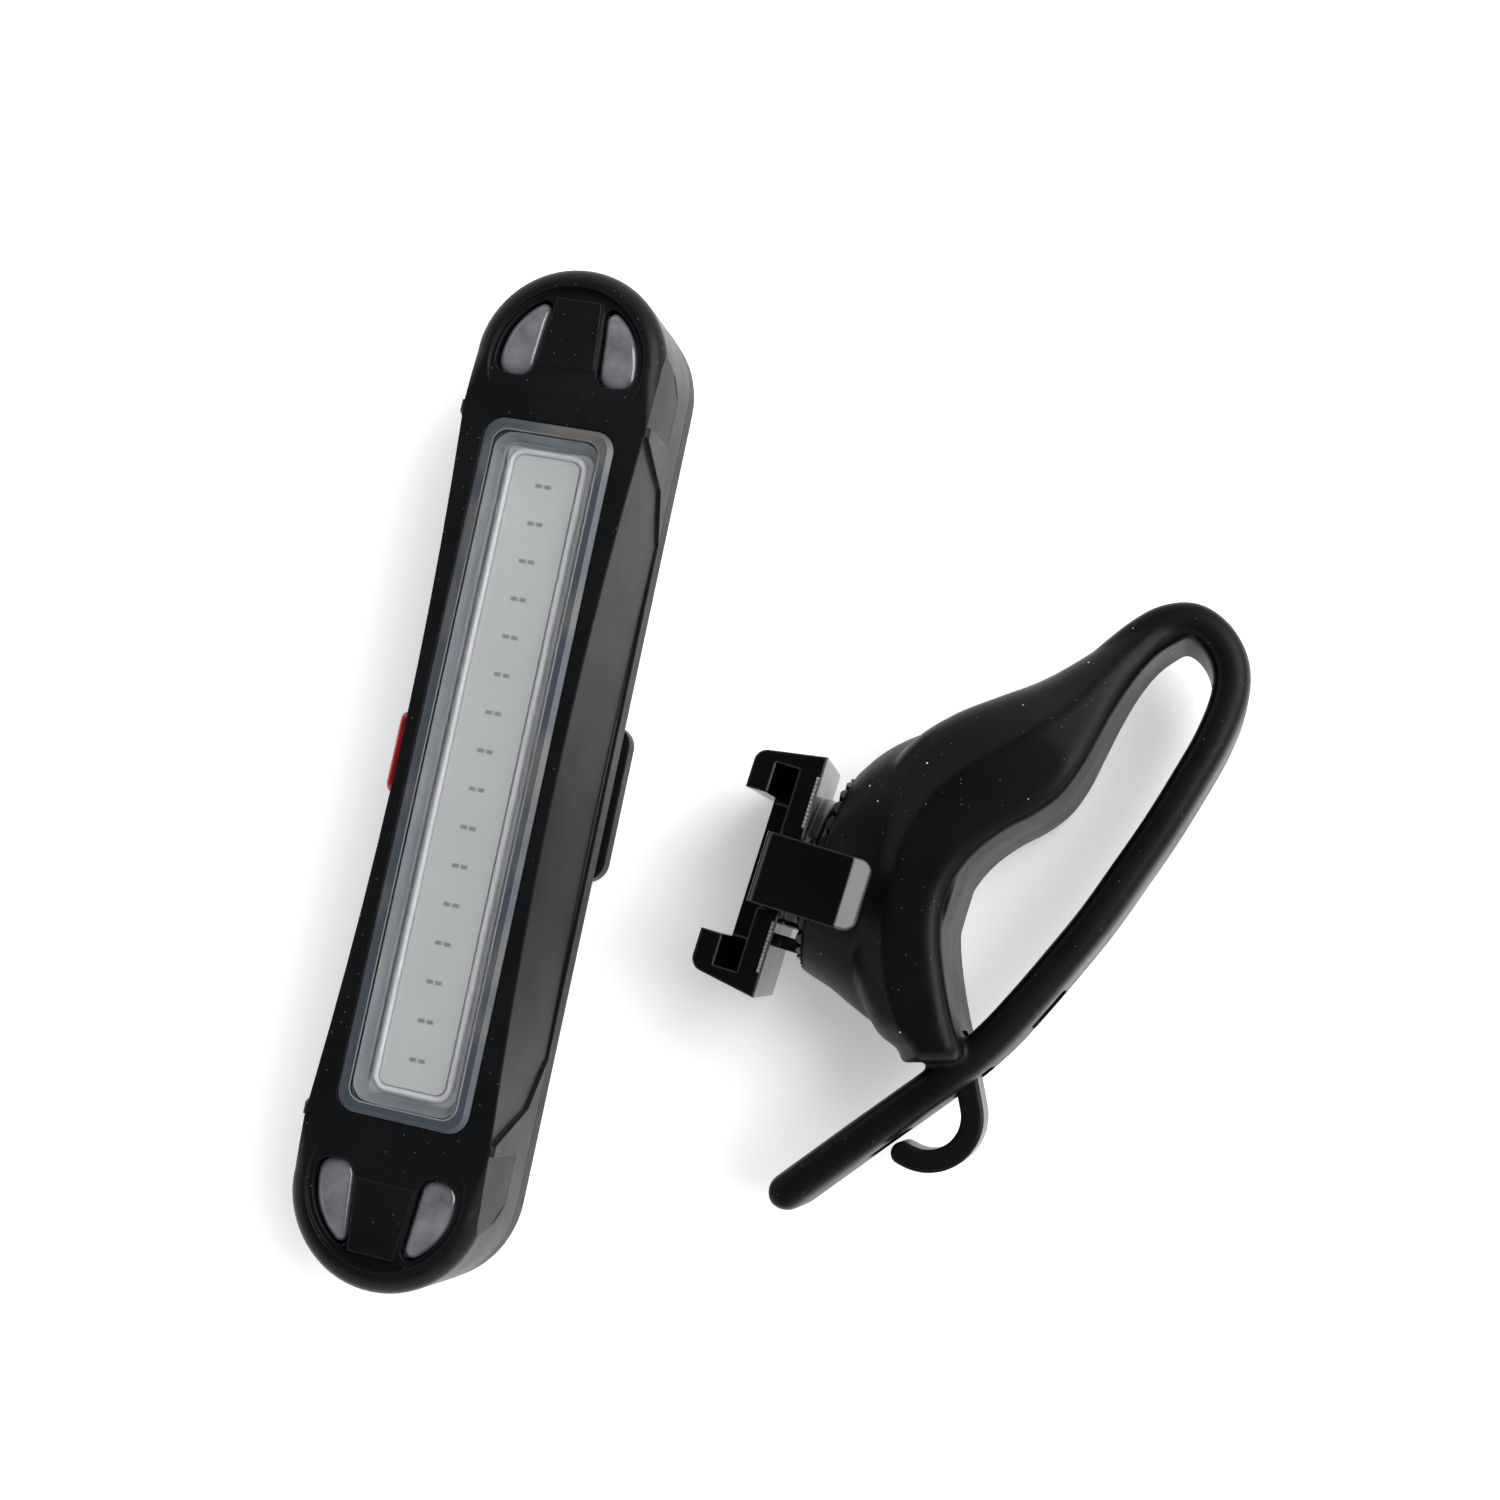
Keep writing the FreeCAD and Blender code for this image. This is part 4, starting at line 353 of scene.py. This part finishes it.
# The rim starts where a rectangle with round corners ends. The overshoots past its straight parts are
# two sides of a triangle, and the third is the distance that counts.
overshoot = add(nodes, "ShaderNodeCombineXYZ", {
    "X": past(nodes, "X", RIM_STRAIGHT[0]), "Y": past(nodes, "Y", RIM_STRAIGHT[1])}).outputs["Vector"]
distance = add(nodes, "ShaderNodeVectorMath", {0: overshoot}, operation="LENGTH").outputs["Value"]
rim = ramp(nodes, distance, (RIM_CORNER - RIM_BLUR) / 1000, (RIM_CORNER + RIM_BLUR) / 1000)
over(lens, rim, "#363F49", **{"Roughness": 0.4, "Transmission Weight": 0.3})
# The matt rim is cloudy where the glue has wetted it.
cloud = add(nodes, "ShaderNodeTexNoise", {"Vector": spot_of(nodes), "Scale": 1000 / 7.0, "Detail": 1.0})
wetted = calc(nodes, "MULTIPLY", ramp(nodes, cloud.outputs["Fac"], 0.5, 0.68), rim)
over(lens, wetted, "#5B5955")
dress(lens, "window_lens")
# An etched step in the same plastic scatters the light, so it looks milky.
etched = finish("etched_polycarbonate", "#7B848E", "#A6A9AA", 0.4, 0.5, 0.004, patch=5.0, IOR=1.585)
piece("lens_step", frame_of(*STEP_SIZE, STEP_CORNER, STEP_PROFILE), etched, "lamp", "window_lens",
      stands_for=False)

# End windows: light pipes of milky polycarbonate, each a part of a disc with a domed face. They are
# pressed into the front housing from behind, over the end LEDs.
DISC_RADIUS, DISC_Y = 6.7, 38.1
GATE_X, GATE_SLANT, GATE_Y = 3.05, 0.09, 36.5
INSIDE = (4.9, 39.6)                            # a point within the window
ROUND_CORNER, TIGHT_CORNER = 1.4, 0.7
DOME = [(0.98, 15.62), (1, 15.7), (1, 16.75), (0.99, 16.95), (0.96, 17.12), (0.9, 17.28),
        (0.78, 17.4), (0.55, 17.47), (0.3, 17.49), (0.08, 17.5)]        # share of the outline, height


def outline(corner, out):
    """A disc cut by two gates, with rounded corners. Rays from a point inside meet the three, set back by
    the corner radius, and the nearest counts. In each direction the farthest point moves out again."""
    angle = np.arange(360) / 360 * 2 * np.pi
    x, y = np.cos(angle), np.sin(angle)
    rise = INSIDE[1] - DISC_Y
    to_centre = -(x * INSIDE[0] + y * rise)
    to_disc = to_centre + np.sqrt(to_centre ** 2 + (DISC_RADIUS - corner) ** 2 - INSIDE[0] ** 2 - rise ** 2)
    to_side = (INSIDE[0] - GATE_X - corner) / np.maximum(-x - GATE_SLANT * y, 1e-3)
    to_end = (INSIDE[1] - GATE_Y - corner) / np.maximum(-y, 1e-3)
    far = np.minimum(to_disc, np.minimum(to_side, to_end))
    back = np.stack((INSIDE[0] + far * x, INSIDE[1] + far * y), -1)
    return back[(out @ back.T).argmax(1)] + corner * out


def window(side, end):
    """One window in rings: its outline is rounder at the lens end, and the profile shrinks it towards the
    top of the dome."""
    angle = (np.arange(96) + 0.5) / 96 * 2 * np.pi
    out = np.stack((np.cos(angle), np.sin(angle)), -1)
    line = np.where(out[:, 1:] > 0, outline(TIGHT_CORNER, out), outline(ROUND_CORNER, out))
    middle = line.mean(0)
    share, level = np.array(DOME).T
    flat = middle + (line - middle) * share[:, None, None]
    rings = np.concatenate((flat, np.broadcast_to(level[:, None, None], flat.shape[:2] + (1,))), -1)
    return skin(rings * np.array([side, end, 1]))


# Milky plastic glows in clouds: grey where it is thick, and paler where it scatters more.
milky = finish("milky_polycarbonate", "#2F2F34", "#9C9CA3", 0.12, 0.8, 0.004, patch=2.2,
               **{"Transmission Weight": 0.4, "IOR": 1.585})
for name, end in (("top", 1), ("bottom", -1)):
    piece(f"{name}_light_pipes", joined(window(1, end), window(-1, end)), milky, "lamp",
          f"{name}_end_windows")

# LED strip: chips on an aluminium board with white solder mask. A round bead of white silicone is laid
# round them and filled with a pale phosphor gel, through which the chips' dark ends show.
STRIP_TOP = 15.83
BEAD_SIZE, BEAD_CORNER, BEAD_HALF, BEAD_HEIGHT = (7.8, 60.2), 1.6, 0.35, 0.69
GEL_SIZE, GEL_CORNER = (6.3, 58.7), 0.9
GEL_PROFILE = [(0.05, STRIP_TOP), (0, 15.86), (0, 16.36), (0.25, 16.31), (0.8, 16.29)]
CHIP_PITCH = 3.56
DASH_WIDE, DASH_LONG = (0.42, 0.33, 0.1), (CHIP_PITCH / 2, 0.19, 0.07)      # centre, half width, fade


def bead():
    """The bead's section: half a circle, inset = r - r cos a, whose height rises faster at its feet,
    with the power 0.7 of sin a."""
    angle = np.linspace(0, np.pi, 9)
    inset = BEAD_HALF - BEAD_HALF * np.cos(angle)
    return np.stack((inset, STRIP_TOP + BEAD_HEIGHT * np.sin(angle) ** 0.7), -1)


def within(tree, value, centre, half, fade):
    """1 where a value in metres is within half a width in mm of a centre, fading to 0 over a fade."""
    away = calc(tree, "ABSOLUTE", calc(tree, "SUBTRACT", value, centre / 1000))
    return ramp(tree, away, (half - fade) / 1000, (half + fade) / 1000, 1.0, 0.0)


# Solder mask is a thin even enamel, bright white and a little glossy.
dress(finish("white_solder_mask", "#DADBDD", "#E4E5E7", 0.35, 0.4, 0.001, edge=0.1), "led_strip_board")
# Silicone laid from a needle keeps slight waves, which show as soft lights along the bead.
laid = finish("laid_white_silicone", "#EDEDF0", "#F6F6F8", 0.3, 2.2, 0.02)
piece("silicone_bead", frame_of(*BEAD_SIZE, BEAD_CORNER, bead()), laid, "lamp", "silicone_dam")
# The gel is cloudy and nearly white. Every pitch a chip shows a dark dash at both sides of its middle.
gel = finish("phosphor_gel", "#DADCDB", "#E6E8E8", 0.35, 0.9, 0.004, patch=14.0)
nodes = gel.node_tree
lengthwise = calc(nodes, "WRAP", along_axis(nodes, "Y"), 0.0, CHIP_PITCH / 1000)
sideways = calc(nodes, "ABSOLUTE", along_axis(nodes, "X"))
dash = calc(nodes, "MULTIPLY", within(nodes, lengthwise, *DASH_LONG), within(nodes, sideways, *DASH_WIDE))
over(gel, dash, "#9E9EA0")
piece("phosphor_gel", slab(*GEL_SIZE, GEL_CORNER, GEL_PROFILE), gel, "lamp", "phosphor_fill")
# Fired ceramic is dense and grey.
dress(finish("led_ceramic", "#7E7F84", "#8A8B90", 0.4, 0.2, 0.001), "led_chips", "end_leds")

# Inside: the tape under the strip, the main board and its parts, the foil cell with its foam, and the
# leads. The board is white like the strip, and the cell lies in the rear shell. Metal parts mirror
# what is round them.
METAL = {"Metallic": 1.0}
# Filled tape is dull and a little uneven.
dress(finish("grey_thermal_tape", "#6D7076", "#7A7D83", 0.7, 0.3, 0.01), "thermal_tape")
# Board mask shows the weave under it as a faint relief.
dress(finish("white_board_mask", "#C9CACD", "#D6D7DA", 0.4, 0.6, 0.004), "main_board")
# Epoxy round a chip has a fine matt grain.
dress(finish("moulded_black_epoxy", "#17171A", "#202024", 0.45, 0.1, 0.003, edge=0.1), "control_chip")
# Pressed steel is bright, with a faint grain from rolling.
dress(finish("pressed_steel", "#A9AAAC", "#BDBEC0", 0.3, 0.15, 0.002, edge=0.05, **METAL),
      "side_switch", "charge_socket", "housing_screws", "swivel_screw", "swivel_washer")
# The cell's foil is drawn over soft layers, so its reflections waver.
dress(finish("aluminium_cell_foil", "#C5C7CB", "#D2D4D8", 0.32, 2.5, 0.05, edge=0.4, **METAL),
      "battery_cell")
# Open cells swallow the light.
dress(finish("open_cell_foam", "#26262A", "#34343A", 0.95, 0.5, 0.15), "battery_foam")
# The leads' plastic skin is smooth and half glossy, and tinned copper has a warm metal tone.
dress(finish("red_wire_skin", "#8E0F14", "#A3161B", 0.4, 0.5, 0.004), "battery_leads")
dress(finish("tinned_copper", "#B9A27C", "#CDB993", 0.3, 0.2, 0.002, **METAL), "strip_leads")

# Power key: a cap of red ABS with a polished face, moulded on to a black carrier. It stands out of the
# left flank, in its grey seal.
CARRIER_FROM, CARRIER_FULL = -6.6, -6.5         # across the lamp
# The red is deep and half glossy, and behind the cap's edge the carrier is black.
red = finish("moulded_red_abs", "#A8040F", "#B4070F", 0.28, 0.4, 0.002, edge=0.15)
carrier = ramp(red.node_tree, along_axis(red.node_tree, "X"), CARRIER_FROM / 1000, CARRIER_FULL / 1000)
dress(over(red, carrier, "#151617"), "power_button")

# Cover of the charge port: one moulding of soft black rubber, a lid with a plug under it. A peg of the
# same rubber holds it to the rear shell beyond its hinge line.
LID_AT, ROOT_AT, PEG_AT = (0, -31), (0, -23.1), (0, -23.3)
LID_PROFILE = [(0.35, 4.0), (0.12, 4.08), (0, 4.3), (0, 4.98), (0.05, 5.0)]
ROOT_PROFILE = [(0.3, 4.02), (0.08, 4.1), (0, 4.3), (0, 4.98)]
# Soft rubber is matt and dark grey rather than black.
soft_black = finish("moulded_black_rubber", "#19191B", "#212123", 0.6, 0.25, 0.01)
lid = slab(10.96, 11.96, 2.0, LID_PROFILE, centre=LID_AT)
plug = slab(7.6, 2.9, 0.6, [(0, 4.8), (0, 6.1), (0.15, 6.29)], centre=LID_AT)
piece("port_lid", joined(lid, plug), soft_black, "cover", "port_cover")
root = slab(4.96, 3.16, 0.8, ROOT_PROFILE, centre=ROOT_AT)
peg = slab(1.6, 1.6, 0.79, [(0, 4.8), (0, 6.0), (0.3, 6.18)], centre=PEG_AT)
piece("lid_root", joined(root, peg), soft_black, "lamp", "cover_anchor")

# Clip with its tab, and the ring of teeth that it clicks round on: black acetal, moulded in a polished
# tool, so they gleam more than the lamp. Fine ribs on two edges of the clip give a finger hold.
MOUNT_AT, MOUNT_TURN = (30.2, -3.9), math.radians(5.8)
RIB_PITCH, RIB_HEIGHT, RIB_FOOT, RIB_TOP = 0.17, 0.1, 17.4, 17.49
RIB_EDGES = (-0.46, -0.16, -0.2, -0.42)         # across: both feet, then both tops


def in_mount(shape):
    """A shape from the mount's plan (across, along, up) on the table: turned, then moved."""
    points, faces = shape
    u, v, w = np.moveaxis(np.asarray(points, float), -1, 0)
    sine, cosine = math.sin(MOUNT_TURN), math.cos(MOUNT_TURN)
    return np.stack((MOUNT_AT[0] + u * cosine + v * sine, MOUNT_AT[1] - u * sine + v * cosine, w), -1), faces


def comb(start, stop):
    """Fine ribs along an edge of the clip: a bar whose top steps up and down at every pitch."""
    count = int((stop - start) / RIB_PITCH)
    along = np.linspace(start, stop, count)
    foot, top = np.full(count, RIB_FOOT), RIB_TOP + RIB_HEIGHT * (np.arange(count) % 2)
    rings = np.stack([np.stack((np.full(count, u), along, w), -1)
                      for u, w in zip(RIB_EDGES, (foot, foot, top, top))], 1)
    return in_mount(skin(rings))


# Polished acetal is the blackest thing here, with sharp white reflections.
acetal = finish("polished_black_acetal", "#020203", "#050506", 0.13, 0.3, 0.002, edge=0.35, sheen=0.4)
dress(acetal, "lamp_clip", "release_tab")
# Grey spots on the ribs' tops are painted glints.
ribs_with_painted_glints = finish("acetal_ribs_painted_glints", "#050506", "#9A9C9F", 0.25, 0.3, 0.002, patch=0.35, sheen=0.4)
piece("clip_ribs", joined(comb(4.3, 9.0), comb(-8.9, -4.2)), ribs_with_painted_glints, "clip", "lamp_clip",
      stands_for=False, sharp=10)
# The teeth come from an unpolished tool, and rubbing leaves them half dull.
teeth = finish("moulded_black_acetal", "#040405", "#070708", 0.3, 0.3, 0.003, edge=0.15, sheen=0.2)
dress(teeth, "detent_ring")

# Hook: black nylon with glass fibre in it, moulded first and then set in the rubber saddle. Its edges
# are well rounded and the fibres leave a fine uneven sheen.
nylon = finish("moulded_black_nylon", "#060607", "#0A0A0B", 0.3, 0.2, 0.004, edge=0.6, sheen=0.18)
dress(nylon, "hook_core")

# Saddle and strap: one moulding of black silicone rubber, matte, with dust on it. A cone widens from
# the swivel to a saddle that bears on the post. The strap loops round from its upper end, and a fine
# parting line runs over both faces.
MIDDLE = 10                                     # the height of the mount's middle plane
# Each station of the saddle: its outer and inner edge (across, along), the half height at both, and
# how far from the outer edge the parting line lies.
SADDLE = [
    (13.2, -11.6, 18.5, -9.7, 6.8, 9.6, 0.36), (10.9, -10.6, 17.1, -7.4, 7.2, 9.9, 0.34),
    (8.7, -8.2, 15.4, -4.0, 7.4, 9.98, 0.36), (6.9, -5.2, 14.2, -1.0, 7.6, 9.98, 0.40),
    (5.7, -1.2, 13.7, 1.6, 7.6, 9.98, 0.42), (5.0, 3.0, 14.0, 4.2, 7.6, 9.98, 0.42),
    (4.8, 7.2, 15.1, 6.8, 7.6, 9.98, 0.41), (5.2, 11.4, 16.9, 9.2, 7.6, 9.98, 0.44),
    (6.7, 14.9, 18.9, 11.2, 7.6, 9.98, 0.46), (9.3, 17.9, 20.5, 13.4, 7.4, 9.98, 0.48),
    (12.4, 20.4, 21.5, 16.2, 7.0, 9.8, 0.50), (15.6, 22.9, 22.1, 19.2, 6.5, 9.0, 0.52),
    (18.4, 25.8, 22.7, 22.2, 6.3, 8.0, 0.52), (20.5, 28.4, 23.6, 25.4, 6.1, 6.8, 0.50),
    (22.4, 30.7, 24.8, 28.0, 5.95, 6.2, 0.50), (24.5, 32.0, 26.6, 30.1, 5.7, 5.7, 0.50),
]
ROUNDING = (1.5, 0.25, 2.2, 2.2, 0.25, 1.5)     # of a section's six corners, from the inner edge on
HORN_SHRINK, HORN_REACH = 0.16, 1.1             # how far the domed end closes and reaches out
# Each station of the cone: across, low and high edge along, half height, and how square it is.
CONE = [(2.2, -7.6, 11.0, 9.3, 2.0), (3.6, -8.0, 13.2, 9.1, 2.1), (5.4, -8.5, 15.0, 9.0, 2.3),
        (7.6, -9.4, 16.6, 9.1, 2.4), (9.8, -10.2, 17.6, 9.2, 2.5), (12.0, -11.1, 18.3, 8.8, 2.7),
        (14.0, -11.8, 18.5, 8.3, 3.0)]
# The strap's middle line (across, along), and its section, a rounded bar 3.3 by 12.
STRAP = [(19.4, 24.0), (21.2, 26.9), (22.9, 29.3), (24.6, 30.9), (26.8, 31.6), (29.1, 30.7), (30.85, 28.7),
         (31.5, 26.0), (31.2, 22.2), (30.2, 17.8), (29.0, 13.3), (27.6, 8.9), (26.1, 4.4), (24.4, 0.2),
         (22.5, -4.2), (20.5, -8.3), (18.0, -12.2), (15.3, -15.8), (12.4, -19.6), (9.7, -23.2),
         (7.3, -26.4)]
STRAP_THICK, STRAP_HIGH, TIP_REACH = (1.65, 3.4), (6.0, 7), 1.5     # half size, and how square it is
SADDLE_RINGS, CONE_RINGS, STRAP_RINGS = 150, 50, 260
# The strap has slots, one of them where it crosses the hook, and the cone a seat for the ring of teeth.
CROSSING, SLOT_STEPS = (18.57, -11.49), (-9.0, 0.0, 9.0)
SLOT_SIZE, SLOT_CORNER, SLOT_REACH = (4.4, 5.6), 1.0, 3
SWIVEL_ALONG, SEAT_RADIUS, SEAT_FROM, SEAT_TO = 1.7, 8.66, 0.5, 3.84
VOXEL = 0.00032                                 # in metres


def smooth(points, count):
    """Even steps along a Catmull-Rom spline through rows of values: each run between two rows is a
    cubic that leaves with half the difference of its neighbours."""
    rows = np.asarray(points, float)
    ends = np.vstack((2 * rows[0] - rows[1], rows, 2 * rows[-1] - rows[-2]))
    steps = np.linspace(0, len(rows) - 1 - 1e-9, count)
    first = steps.astype(int)
    t = (steps - first)[:, None]
    a, b, c, d = (ends[first + n] for n in range(4))
    return 0.5 * (2 * b + (c - a) * t + (2 * a - 5 * b + 4 * c - d) * t ** 2
                  + (3 * b - 3 * c + d - a) * t ** 3)


def squared(wave, power):
    """A sine or cosine made squarer: its size to the power of 2 / power, with its sign."""
    return np.sign(wave) * np.abs(wave) ** (2 / power)


def saddle_body():
    """The saddle in rings along its stations. A section has six corners (distance from the outer edge,
    height), and a curve rounds each: (1 - t)^2 start + 2 t (1 - t) corner + t^2 stop, from one side to
    the other. The horn's end is a dome: the first ring shrinks by a share of 1 - cos a, and moves out
    by the horn's reach times sin a."""
    stations = smooth(SADDLE, SADDLE_RINGS)
    outer, inner = stations[:, 0:2], stations[:, 2:4]
    half_out, half_in, part_at = stations[:, 4:].T
    reach = np.linalg.norm(inner - outer, axis=1)
    edge = np.zeros_like(reach)
    corners = np.array([(reach, half_in), (part_at * reach, half_in), (edge, half_out),
                        (edge, -half_out), (part_at * reach, -half_in), (reach, -half_in)])
    start, stop = (corners + way / np.linalg.norm(way, axis=1, keepdims=True)
                   * np.array(ROUNDING)[:, None, None]
                   for way in (np.roll(corners, 1, 0) - corners, np.roll(corners, -1, 0) - corners))
    t = np.linspace(0, 1, 7)[:, None, None, None]
    curve = (1 - t) ** 2 * start + 2 * t * (1 - t) * corners + t ** 2 * stop
    section = curve.transpose(3, 1, 0, 2).reshape(len(stations), -1, 2)
    inward = (inner - outer) / reach[:, None]
    flat = outer[:, None] + section[..., :1] * inward[:, None]
    body = np.concatenate((flat, MIDDLE + section[..., 1:]), -1)
    centre = body[0].mean(0)
    out = np.array([inward[0, 1], -inward[0, 0], 0.0])
    a = np.linspace(math.pi / 2, 0.2, 6)[:, None, None]
    dome = centre + (body[0] - centre) * (1 - HORN_SHRINK * (1 - np.cos(a))) + out * HORN_REACH * np.sin(a)
    return skin(np.concatenate((dome, body)))


def cone():
    """The cone in rings. Each is a squared ellipse: along = middle + half width * cos a, up = middle
    height + half height * sin a."""
    across, low, high, half, power = smooth(CONE, CONE_RINGS).T[..., None]
    angle = np.linspace(0, 2 * math.pi, 160, endpoint=False)
    along = (low + high) / 2 + squared(np.cos(angle), power) * (high - low) / 2
    up = MIDDLE + squared(np.sin(angle), power) * half
    return skin(np.stack((np.broadcast_to(across, along.shape), along, up), -1))


def strap(line, run):
    """The strap in rings along its line: a squared ellipse stands square to the run. At the tip the
    last ring moves on by the tip's reach times sin a. It shrinks with cos a, its height by a fifth of
    that only."""
    angle = np.linspace(0, 2 * math.pi, 48, endpoint=False)
    thick = squared(np.cos(angle), STRAP_THICK[1]) * STRAP_THICK[0]
    high = squared(np.sin(angle), STRAP_HIGH[1]) * STRAP_HIGH[0]
    normal = np.stack((-run[:, 1], run[:, 0]), -1)
    flat = line[:, None] + normal[:, None] * thick[:, None]
    rings = np.concatenate((flat, np.broadcast_to(MIDDLE + high[:, None], flat.shape[:2] + (1,))), -1)
    centre, ahead = rings[-1].mean(0), np.append(run[-1], 0)
    a = np.linspace(0.15, 1.4, 7)
    shrink = np.stack((np.cos(a), np.cos(a), 0.8 + 0.2 * np.cos(a)), -1)[:, None]
    tip = centre + (rings[-1] - centre) * shrink + ahead * TIP_REACH * np.sin(a)[:, None, None]
    return skin(np.concatenate((rings, tip)))


def slots(line, run):
    """Blocks through the strap at steps from the crossing. Each is a rectangle with round corners, set
    up on the strap's own direction there, and reaches out to both sides of its line."""
    far = np.append(0, np.cumsum(np.linalg.norm(np.diff(line, axis=0), axis=1)))
    crossing = far[np.linalg.norm(line - CROSSING, axis=1).argmin()]
    block = edging(*SLOT_SIZE, SLOT_CORNER, [(0, -SLOT_REACH), (0, SLOT_REACH)]).transpose(1, 0, 2)
    shapes = []
    for step in SLOT_STEPS:
        at, ahead = (np.array([np.interp(crossing + step, far, rows[:, n]) for n in (0, 1)])
                     for rows in (line, run))
        flat = at + block[..., :1] * ahead + block[..., 2:] * np.array([-ahead[1], ahead[0]])
        shapes.append(skin(np.concatenate((flat, MIDDLE + block[..., 1:2]), -1)))
    return shapes


def seat():
    """A drum round the swivel's axis: two circles, along + r cos a and up + r sin a."""
    angle = np.arange(96) / 96 * 2 * np.pi
    circle = np.stack((np.zeros(96), SWIVEL_ALONG + SEAT_RADIUS * np.cos(angle),
                       MIDDLE + SEAT_RADIUS * np.sin(angle)), -1)
    return skin(np.stack((circle + (SEAT_FROM, 0, 0), circle + (SEAT_TO, 0, 0))))


# Silicone rubber is a dull black that draws dust: fine specks all over, and a few large ones.
rubber = finish("moulded_silicone_rubber", "#060607", "#09090A", 0.4, 0.22, 0.008, sheen=0.1)
dust_and_glint_specks(dust_and_glint_specks(rubber, 0.75, 0.09, "#65676B"), 2.3, 0.18, "#C4C6C9")
strap_line = smooth(STRAP, STRAP_RINGS)
strap_run = np.gradient(strap_line, axis=0)
strap_run /= np.linalg.norm(strap_run, axis=1)[:, None]
saddle = piece("saddle_and_strap", in_mount(joined(saddle_body(), cone(), strap(strap_line, strap_run))),
               rubber, "mount", "saddle_strap")
# The three forms grow into one skin, which then relaxes, and the slots and the seat are cut from it.
saddle.modifiers.new("one_skin", "REMESH").voxel_size = VOXEL
relax = saddle.modifiers.new("relax", "SMOOTH")
relax.factor, relax.iterations = 0.5, 3
cutter = solid("cutter", in_mount(joined(*slots(strap_line, strap_run), seat())), rubber)
cut = saddle.modifiers.new("cut", "BOOLEAN")
cut.operation, cut.solver, cut.object = "DIFFERENCE", "EXACT", cutter
finished = bpy.data.meshes.new_from_object(saddle.evaluated_get(bpy.context.evaluated_depsgraph_get()))
saddle.modifiers.clear()
saddle.data = finished
bpy.data.objects.remove(cutter)
shade(saddle.data)
